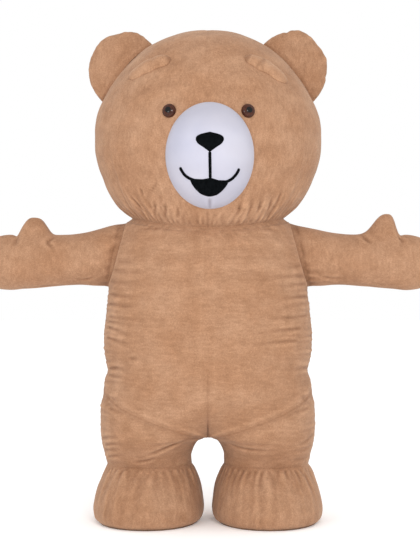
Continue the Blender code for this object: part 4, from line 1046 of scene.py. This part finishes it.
TAN = plush("plush", (1.0, 1.0, 0.30))
TAN_ACROSS = plush("plush brushed across", (0.25, 0.25, 1.2))
WHITE = plain_cloth("white plush", (0.455, 0.455, 0.545), (0.515, 0.505, 0.575), 4, 0.7, 0.25, 0.15, 0.15,
                    shaded=True)
BLACK = plain_cloth("black felt", (0.002, 0.0025, 0.003), (0.004, 0.005, 0.006), 90, 1.0, 0.5, 0.0, 0.03)
SOLE = woven("sole cloth", (0.20, 0.115, 0.07), (0.28, 0.165, 0.10), 0.0016, "XY", 0.9, 0.25)
TAPE = woven("zip tape", (0.36, 0.20, 0.115), (0.44, 0.25, 0.15), 0.0009, "XZ", 0.85)
COIL = hard("zip chain", (0.23, 0.13, 0.072), (0.31, 0.175, 0.10), 0.36, scale=240)
METAL = worn_metal("zip metal", (0.44, 0.42, 0.39), (0.58, 0.56, 0.52))
IRIS = hard("eye brown", (0.035, 0.008, 0.003), (0.075, 0.019, 0.007), 0.16, 0.1, gloss=0.22)
PUPIL = hard("eye black", (0.001, 0.001, 0.001), (0.003, 0.002, 0.002), 0.08, 0.1, gloss=0.25)


# ---------------------------------------------------------------- pieces
FRONTS_OF = {name: (f"{name}_front_left", f"{name}_front_right") for name in ("head", "torso", "leg")}
# the start of the panels' names, and their finish; other panels are tan plush
FINISHES = {"muzzle": WHITE, "torso": TAN_ACROSS, "leg": TAN_ACROSS}
# every crease's depth and half width are its table's, times these
CREASE_EASE = 0.54
CREASE_SPREAD = 1.45
# the painted tone of level cloth, and how much height changes it: painted shade in the troughs, painted light
# on the crests
LEVEL_TONE = 0.62
FOLD_HEIGHT = 0.0055
FOLD_REACH = 3


def dressed(piece, node=None):
    """Puts the piece on the suit's body, and hides the node that it stands for."""
    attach(piece, "suit")
    if node:
        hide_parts(node)


def wall_of(name):
    """A panel's shell, with its own gathers and the creases that cross it."""
    made = PANELS[name]
    base, ring = made["base"], made["ring"]
    marks = unevenness(base)
    for route, depth, width, taper in ROUTES:
        marks = marks + crease_lift(base, route, depth, width, taper)
    lift = made["lift"] + marks * made["calm"]
    outer = base + made["normal"] * lift[..., None]
    if ring:
        outer[:, -1] = outer[:, 0]
    inner = outer - normals_of(outer, made["centre"], ring) * CLOTH
    made["outer"] = outer
    # the fold attribute carries painted light on crests, and painted shade in troughs and along the panel's
    # shaded seams
    reach = FOLD_REACH
    smooth = lift - sum(np.roll(lift, step, axis) for axis in (0, 1) for step in (reach, -reach)) / 4
    for edge in (np.s_[:reach], np.s_[-reach:], np.s_[:, :reach], np.s_[:, -reach:]):
        smooth[edge] = 0.0
    fold = np.clip(LEVEL_TONE + smooth / FOLD_HEIGHT - made["shade"], 0, 1)
    piece = add_shell(f"{name}_cloth", outer, inner, ring, FINISHES.get(name.split("_")[0], TAN), fold)
    dressed(piece, name)


def surface_tree(names, kind="outer"):
    """The finished cloth of some panels, or their plain form, as one surface."""
    points, faces, count = [], [], 0
    for name in names:
        grid = PANELS[name][kind]
        rows, columns = grid.shape[:2]
        ids = np.arange(rows * columns).reshape(rows, columns) + count
        points += grid.reshape(-1, 3).tolist()
        faces += np.stack([ids[:-1, :-1], ids[:-1, 1:], ids[1:, 1:], ids[1:, :-1]], -1).reshape(-1, 4).tolist()
        count += rows * columns
    return BVHTree.FromPolygons(points, faces)


build_head()
build_torso()
build_legs()
build_feet()
build_arms()
PLUSH_PANELS = [name for name in PANELS if name != "muzzle"]
PLAIN_FORM = surface_tree(PLUSH_PANELS, "base")
ROUTES = [(crease_line(where, points, PLAIN_FORM), CREASE_EASE * depth, CREASE_SPREAD * width, taper)
          for where, points, depth, width, taper in read_creases(CREASE_TABLE)]
for name in list(PANELS):
    wall_of(name)
FACE = surface_tree([*FRONTS_OF["head"], "head_back_left", "head_back_right", "muzzle"])


def on_face(x, z):
    spot, normal, _, _ = FACE.ray_cast(Vector((x, -3, z)), Vector((0, 1, 0)))
    return spot, normal if normal.y < 0 else -normal


def patch(name, grid, finish, thick, tone=lambda along, across: LEVEL_TONE):
    """A piece laid on the face: a grid of (x, z) points, and a function for its thickness."""
    rows, columns = grid.shape[:2]
    fold, back, front = np.zeros((rows, columns)), np.zeros((rows, columns, 3)), np.zeros((rows, columns, 3))
    for r in range(rows):
        for c in range(columns):
            spot, normal = on_face(*grid[r, c])
            way = r / (rows - 1), c / (columns - 1)
            fold[r, c] = tone(*way)
            back[r, c] = spot + normal * PATCH_GAP
            front[r, c] = spot + normal * (PATCH_GAP + PATCH_EDGE + thick(*way))
    return add_shell(name, front, back, False, finish, fold)


# nose, line, mouth, brows and eyes
PATCH_GAP = 0.0004
PATCH_EDGE = 0.0005
FELT = 0.0022
SMILE_EXTRA = 0.0006
LINE_WIDTH = 0.013
SMILE_STROKE = 0.0112
BROW_HALF_WIDTH = 0.031
BROW_EDGE = 0.0020
BROW_HEIGHT = 0.013
# inner end, outer end, crumples
BROWS = {"left": ((0.167, 2.119), (0.358, 2.012), 1.0), "right": ((0.166, 2.113), (0.358, 2.032), 0.45)}
EYES_MIDDLE = 0.004
EYE_SPREAD = 0.172
EYE_HEIGHT = 1.863
EYE_RADIUS = 0.031
EYE_DOME = 0.019
EYE_RIM = 0.003
EYE_GAP = 0.0006
PUPIL_RADIUS = 0.014
PUPIL_SUNK = 0.0004
PUPIL_RIM = 0.0002


def felt(along, across):
    """Felt with its cut edge rolled under."""
    edge = min(along, 1 - along, across, 1 - across)
    return FELT * min(1.0, edge / 0.06) ** 0.5 if edge > 0 else 0.0


def spans(xs, span, count):
    grid = np.zeros((len(xs), count + 1, 2))
    for r, x in enumerate(xs):
        top, bottom = span(x)
        grid[r, :, 0] = x
        grid[r, :, 1] = np.linspace(bottom, top, count + 1)
    return grid


# distance from the muzzle's middle, top, bottom
NOSE = in_metres("""
0 17570 16700
170 17530 16830
340 17490 16950
510 17420 17070
572 17360 17170
596 17290 17230
""", 10000)
# place beside the muzzle's middle, height
SMILE = in_metres("""
-1290 16115
-1210 15960
-1090 15790
-880 15635
-640 15550
-340 15530
-100 15560
20 15580
200 15540
400 15490
660 15490
880 15570
1080 15740
1200 15905
1275 16065
""", 10000)
# place beside the muzzle's middle, top, bottom
MOUTH = in_metres("""
-870 15640 15600
-750 15590 15360
-580 15550 15140
-350 15540 14965
-20 15570 14875
270 15530 14930
500 15490 15080
690 15500 15290
840 15560 15540
""", 10000)
NOSE_LINE = ((0.000, 1.674), (0.001, 1.620), (0.002, 1.560))
NOSE_AT = curve(NOSE)
MOUTH_AT = curve(MOUTH)
BESIDE = np.array((MUZZLE_MIDDLE, 0.0))


def ribbon(route, width, count, across):
    """A grid along a smooth route, its rounded ends drawn in."""
    route = np.array(route)
    steps = steps_along(route)
    at_x, at_z = (curve(np.column_stack([steps, route[:, k]])) for k in (0, 1))
    at = np.linspace(0, steps[-1], count)
    line = np.stack([at_x(at)[1], at_z(at)[1]], 1)
    ahead = np.gradient(line, axis=0)
    ahead /= np.linalg.norm(ahead, axis=1, keepdims=True)
    out = np.stack([-ahead[:, 1], ahead[:, 0]], 1)
    end = np.minimum(at, steps[-1] - at) / (width / 2)
    half = width / 2 * np.sqrt(1 - (1 - np.clip(end, 0.03, 1)) ** 2)
    return line[:, None] + out[:, None] * (np.linspace(-1, 1, across)[None, :, None] * half[:, None, None])


nose_edge = NOSE[-1][0] * np.sin(np.linspace(-np.pi / 2, np.pi / 2, 45))
mouth_edge = np.linspace(MOUTH[0][0], MOUTH[-1][0], 65)
for name, node, grid, extra in (
    ("nose", "nose", spans(nose_edge, lambda x: NOSE_AT(abs(x))[1:], 20), 0.0),
    ("nose_line", "nose_line", ribbon(NOSE_LINE, LINE_WIDTH, 26, 7), 0.0),
    ("mouth", "mouth", spans(mouth_edge, lambda x: MOUTH_AT(x)[1:], 16), 0.0),
    ("smile", None, ribbon(SMILE, SMILE_STROKE, 90, 7), SMILE_EXTRA),
):
    piece = patch(f"{name}_felt", grid + BESIDE, BLACK, lambda along, across: extra + felt(along, across))
    dressed(piece, node)


def brow_grid(side, inner, outer):
    inner, outer = np.array(inner), np.array(outer)
    along = (outer - inner) / np.linalg.norm(outer - inner)
    across = np.array((-along[1], along[0]))
    grid = np.zeros((73, 25, 2))
    for r, share in enumerate(np.linspace(0, 1, 73)):
        half = BROW_HALF_WIDTH * max(1 - abs(2 * share - 1) ** 3.2, 0.02) ** 0.5 * (1.12 - 0.24 * share)
        half *= 1 + 0.06 * math.sin(17 * share + side)
        middle = inner + (outer - inner) * share + across * 0.012 * math.sin(math.pi * share)
        for c, w in enumerate(np.linspace(-1, 1, 25)):
            grid[r, c] = middle + across * half * w
    grid[..., 0] *= side
    return grid


def brow_pinch(along, across):
    """Where the pad is drawn in: its inner end and two crumples."""
    pinch = 0.8 * bell(along - 0.30 - 0.06 * across, 0.035) + bell(along - 0.07, 0.03)
    return pinch + 0.5 * bell(along - 0.44 + 0.10 * across, 0.03)


def brow_pad(along, across, crumple):
    if not 0 < across < 1:
        return BROW_EDGE
    dome = math.sin(math.pi * across) ** 0.7 * max(1 - abs(2 * along - 1) ** 3, 0.0) ** 0.6
    return BROW_EDGE + BROW_HEIGHT * dome * (1 - 0.55 * crumple * brow_pinch(along, across))


# painted highlight over the pad, painted shade at its inner end, in its crumples and along its lower edge
def brow_tone(along, across, crumple):
    end = bell(along - 0.02, 0.05) + 0.5 * bell(along - 0.98, 0.04)
    return 0.88 - 0.66 * end - 0.34 * crumple * brow_pinch(along, across) - 0.16 * (1 - across) ** 3


def disc(name, place, radius, height, rim, finish, low=0.0, steps=12, around=64):
    """A round domed piece standing square to the face, from its rim to its middle."""
    grid = np.zeros((steps + 2, around + 1, 3))
    for r in range(steps + 1):
        angle = math.pi / 2 * r / steps
        for c in range(around + 1):
            turn = 2 * math.pi * (c % around) / around
            out = radius * math.cos(angle)
            grid[r + 1, c] = (out * math.cos(turn), out * math.sin(turn), low + rim + height * math.sin(angle))
    grid[0] = grid[1]
    grid[0, :, 2] = low
    grid[-1, :, :2] = 0.0
    under = grid.copy()
    under[..., 2] = low
    under[..., :2] *= 0.98
    turned = np.array(place.to_3x3())
    move = np.array(place.translation)
    return add_shell(name, grid @ turned.T + move, under @ turned.T + move, True, finish)


for word, side in SIDES:
    inner, outer, crumple = BROWS[word]
    brow = patch(f"brow_{word}_pad", brow_grid(side, inner, outer), TAN,
                 lambda a, c: brow_pad(a, c, crumple), lambda a, c: brow_tone(a, c, crumple))
    dressed(brow, f"brow_{word}")
    spot, normal = on_face(EYES_MIDDLE + side * EYE_SPREAD, EYE_HEIGHT)
    place = Matrix.Translation(spot + normal * EYE_GAP) @ normal.to_track_quat("Z", "Y").to_matrix().to_4x4()
    dressed(disc(f"eye_{word}_dome", place, EYE_RADIUS, EYE_DOME, EYE_RIM, IRIS), f"eye_{word}")
    flat = math.sqrt(1 - (PUPIL_RADIUS / EYE_RADIUS) ** 2)
    dressed(disc(f"eye_{word}_pupil", place, PUPIL_RADIUS, EYE_DOME * (1 - flat) + PUPIL_SUNK, PUPIL_RIM, PUPIL,
                 EYE_RIM + EYE_DOME * flat - PUPIL_SUNK))


# ---------------------------------------------------------------- ears
EAR_MIDDLE = Vector((0.388, 0, 2.115))
EAR_RADIUS = 0.171
EAR_HALF_THICK = 0.062
# share round the rim, width, height of each fullness or dip of the outline
EAR_BUMPS = {
    1: ((0.70, 0.12, 0.014), (0.80, 0.022, -0.006), (0.52, 0.03, -0.003),
        (0.38, 0.05, 0.003), (0.22, 0.02, -0.003)),
    -1: ((0.86, 0.06, 0.005), (0.70, 0.05, -0.004), (0.58, 0.04, 0.002),
         (0.44, 0.035, -0.003), (0.20, 0.06, 0.003)),
}
# the seam's two ends on the head, how far it bows, the way the ear leans, its gap to the head
EAR_SEAM = ((0.491, 1.966), (0.272, 2.238))
EAR_SEAM_BOW = (0.007, 0.006)
EAR_LEAN = 0.7
EAR_GAP = 0.0006
EAR_FROM = -55
EAR_TURN = 188


def ear_base(share, depth):
    low, high = (Vector(place) for place in EAR_SEAM)
    spot = low + (high - low) * share - Vector(EAR_SEAM_BOW) * math.sin(math.pi * share)
    lean = Vector((math.cos(EAR_LEAN), 0, math.sin(EAR_LEAN)))
    found, _, _, _ = FACE.ray_cast(Vector((spot.x, depth + SHIFT, spot.y)) + lean, -lean)
    return Vector((found.x, depth, found.z)) + lean * EAR_GAP


def ear_grid(back, side):
    turn = 1 if back else -1
    rows, columns = 73, 33
    grid = np.zeros((rows, columns, 3))
    for r in range(rows):
        share = r / (rows - 1)
        angle = math.radians(EAR_FROM + EAR_TURN * share)
        reach = EAR_RADIUS + 0.016 * max(0.0, 1 - share / 0.3) ** 2
        for at, wide, bump in EAR_BUMPS[side]:
            reach += bump * bell(share - at, wide)
        rim = EAR_MIDDLE + Vector((math.cos(angle), 0, math.sin(angle))) * reach
        thick = EAR_HALF_THICK * max(math.sin(math.pi * share), 0.02) ** 0.55
        base = ear_base(share, turn * thick)
        for c in range(columns):
            step = c / (columns - 1)
            flat = base + (rim - base) * math.sin(step * math.pi / 2)
            grid[r, c] = (flat.x * side, turn * thick * math.cos(step * math.pi / 2) + SHIFT, flat.z)
    return grid


for back in (False, True):
    for word, side in SIDES:
        base = ear_grid(back, side)
        rim, to_rim = columns_across(base)
        share = np.linspace(0, 1, base.shape[0])[:, None] + np.zeros(base.shape[:2])
        lift = 0.003 * away(to_rim, 0.010) * away(rim, 0.01) + gathers("ear", share, to_rim, (side < 0) * 2)
        panel(f"ear_{HALVES[back]}_{word}", base, (0.38 * side, SHIFT, 2.1), lift, shade=0.07)
        wall_of(f"ear_{HALVES[back]}_{word}")

# ---------------------------------------------------------------- the zip's teeth
ZIP_PITCH = 0.003
# half width, lower and upper face against the surface: the teeth's band, and the tapes' upper ends
ZIP_BAND = (0.005, -0.0035, -0.0022)
ZIP_TAPES = (0.013, -0.0032, -0.0026)
TAPE_ENDS = (1.3835, 1.4010)
# along the tooth from its root, half height, lowering of its face
TOOTH = ((0.0048, 0.00100, 0.0004), (0.0040, 0.00112, 0.0000), (0.0012, 0.00075, 0.0000),
         (-0.0012, 0.00058, 0.0003))
TOOTH_ROOT = ZIP_BAND[2] - 0.0003
ACROSS = np.array((1.0, 0.0, 0.0))


def prism(points, faces, sections):
    """A closed box through four-cornered sections."""
    start = len(points)
    points += [tuple(corner) for section in sections for corner in section]
    rings = [[start + 4 * k + i for i in range(4)] for k in range(len(sections))]
    faces += [rings[0][::-1], rings[-1]]
    for one, other in zip(rings, rings[1:]):
        faces += [(one[i], one[(i + 1) % 4], other[(i + 1) % 4], other[i]) for i in range(4)]


def station(surface, x, z):
    """The middle of the back at a height, and the way out of it."""
    spot, normal, _, _ = surface.ray_cast(Vector((x, 3, z)), Vector((0, -1, 0)))
    return np.array((0.0, spot.y, spot.z)), np.array((0.0, normal.y, normal.z)) / math.hypot(normal.y, normal.z)


def corners(middle, reach, out, low, high):
    return [middle + way + out * level
            for way, level in ((-reach, low), (reach, low), (reach, high), (-reach, high))]


def strip(surface, x, heights, shape):
    """Sections of a band that follows a surface."""
    half, low, high = shape
    stops = (station(surface, x, z) for z in heights)
    return [corners(middle, ACROSS * half, out, low, high) for middle, out in stops]


def zip_teeth():
    """Teeth from the two sides in turn on a narrow band, in the place of the chain's solid."""
    low, high = (corner[2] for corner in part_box("zip_chain"))
    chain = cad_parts["zip_chain"].data
    solid = BVHTree.FromPolygons([v.co[:] for v in chain.vertices], [p.vertices[:] for p in chain.polygons])
    points, faces = [], []
    prism(points, faces, strip(solid, 0.0021, np.linspace(low + 0.0006, high - 0.0006, 90), ZIP_BAND))
    for k, z in enumerate(np.arange(low + 0.0025, high - 0.0025, ZIP_PITCH / 2)):
        middle, out = station(solid, 0.0021, z)
        side, up = 1 if k % 2 else -1, np.cross(out, ACROSS)
        prism(points, faces, [corners(middle + ACROSS * side * reach, up * half, out, TOOTH_ROOT, -drop)
                              for reach, half, drop in TOOTH])
    return mesh_piece("zip_teeth", points, faces, COIL)


def zip_top():
    """The tapes' upper ends, folded over each other under the cloth above the slider."""
    backs = surface_tree(["torso_back_left", "torso_back_right"])
    points, faces = [], []
    prism(points, faces, strip(backs, 0.009, np.linspace(*TAPE_ENDS, 6), ZIP_TAPES))
    return mesh_piece("zip_top", points, faces, TAPE)


dressed(zip_teeth(), "zip_chain")
dressed(zip_top())

# ---------------------------------------------------------------- nodes that keep their solids
for finish, names in ((SOLE, ("sole_left", "sole_right")), (TAPE, ("zip_tape_left", "zip_tape_right")),
                      (METAL, ("zip_slider", "zip_pull"))):
    for name in names:
        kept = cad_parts[name].data
        kept.materials.clear()
        kept.materials.append(finish)

# ---------------------------------------------------------------- camera, floor and light
SENSOR_WIDTH = 36.0
LENS = 86.4
CAMERA_PLACE = (0.0099, -6.263, 1.1226)
FLOOR_GLOW = 0.12
FLOOR_REACH = 30
FLOOR_DROP = -0.0005
camera = placed("camera", bpy.data.cameras.new("camera"))
camera.data.sensor_width = SENSOR_WIDTH
camera.data.lens = LENS
camera.location = CAMERA_PLACE
camera.rotation_euler = (math.radians(90), 0, 0)
SCENE.camera = camera

floor_mesh = bpy.data.meshes.new("floor")
floor_mesh.from_pydata([(x * FLOOR_REACH, y * FLOOR_REACH, FLOOR_DROP)
                        for x, y in ((-1, -1), (1, -1), (1, 1), (-1, 1))], [], [(0, 1, 2, 3)])
floor_finish, _, floor_shader = nodes_of("floor")
for key, value in (("Base Color", (1, 1, 1, 1)), ("Roughness", 1.0), ("Specular IOR Level", 0.0),
                   ("Emission Color", (1, 1, 1, 1)), ("Emission Strength", FLOOR_GLOW)):
    floor_shader.inputs[key].default_value = value
floor_mesh.materials.append(floor_finish)
placed("floor", floor_mesh)


def area_light(name, place, target, size, energy):
    lamp = bpy.data.lights.new(name, "AREA")
    lamp.shape = "DISK"
    lamp.size = size
    lamp.energy = energy
    made = placed(name, lamp)
    made.location = place
    made.rotation_euler = (Vector(target) - Vector(place)).to_track_quat("-Z", "Y").to_euler()


area_light("key", (1.3, -5.6, 3.0), (0, 0, 1.2), 1.4, 92)
area_light("fill", (-2.8, -5.2, 2.0), (0, 0, 1.1), 2.0, 48)
world = bpy.data.worlds.new("studio")
world.use_nodes = True
background = world.node_tree.nodes["Background"]
background.inputs["Color"].default_value = (1, 1, 1, 1)
background.inputs["Strength"].default_value = 1.0
SCENE.world = world
SCENE.view_settings.view_transform = "Standard"
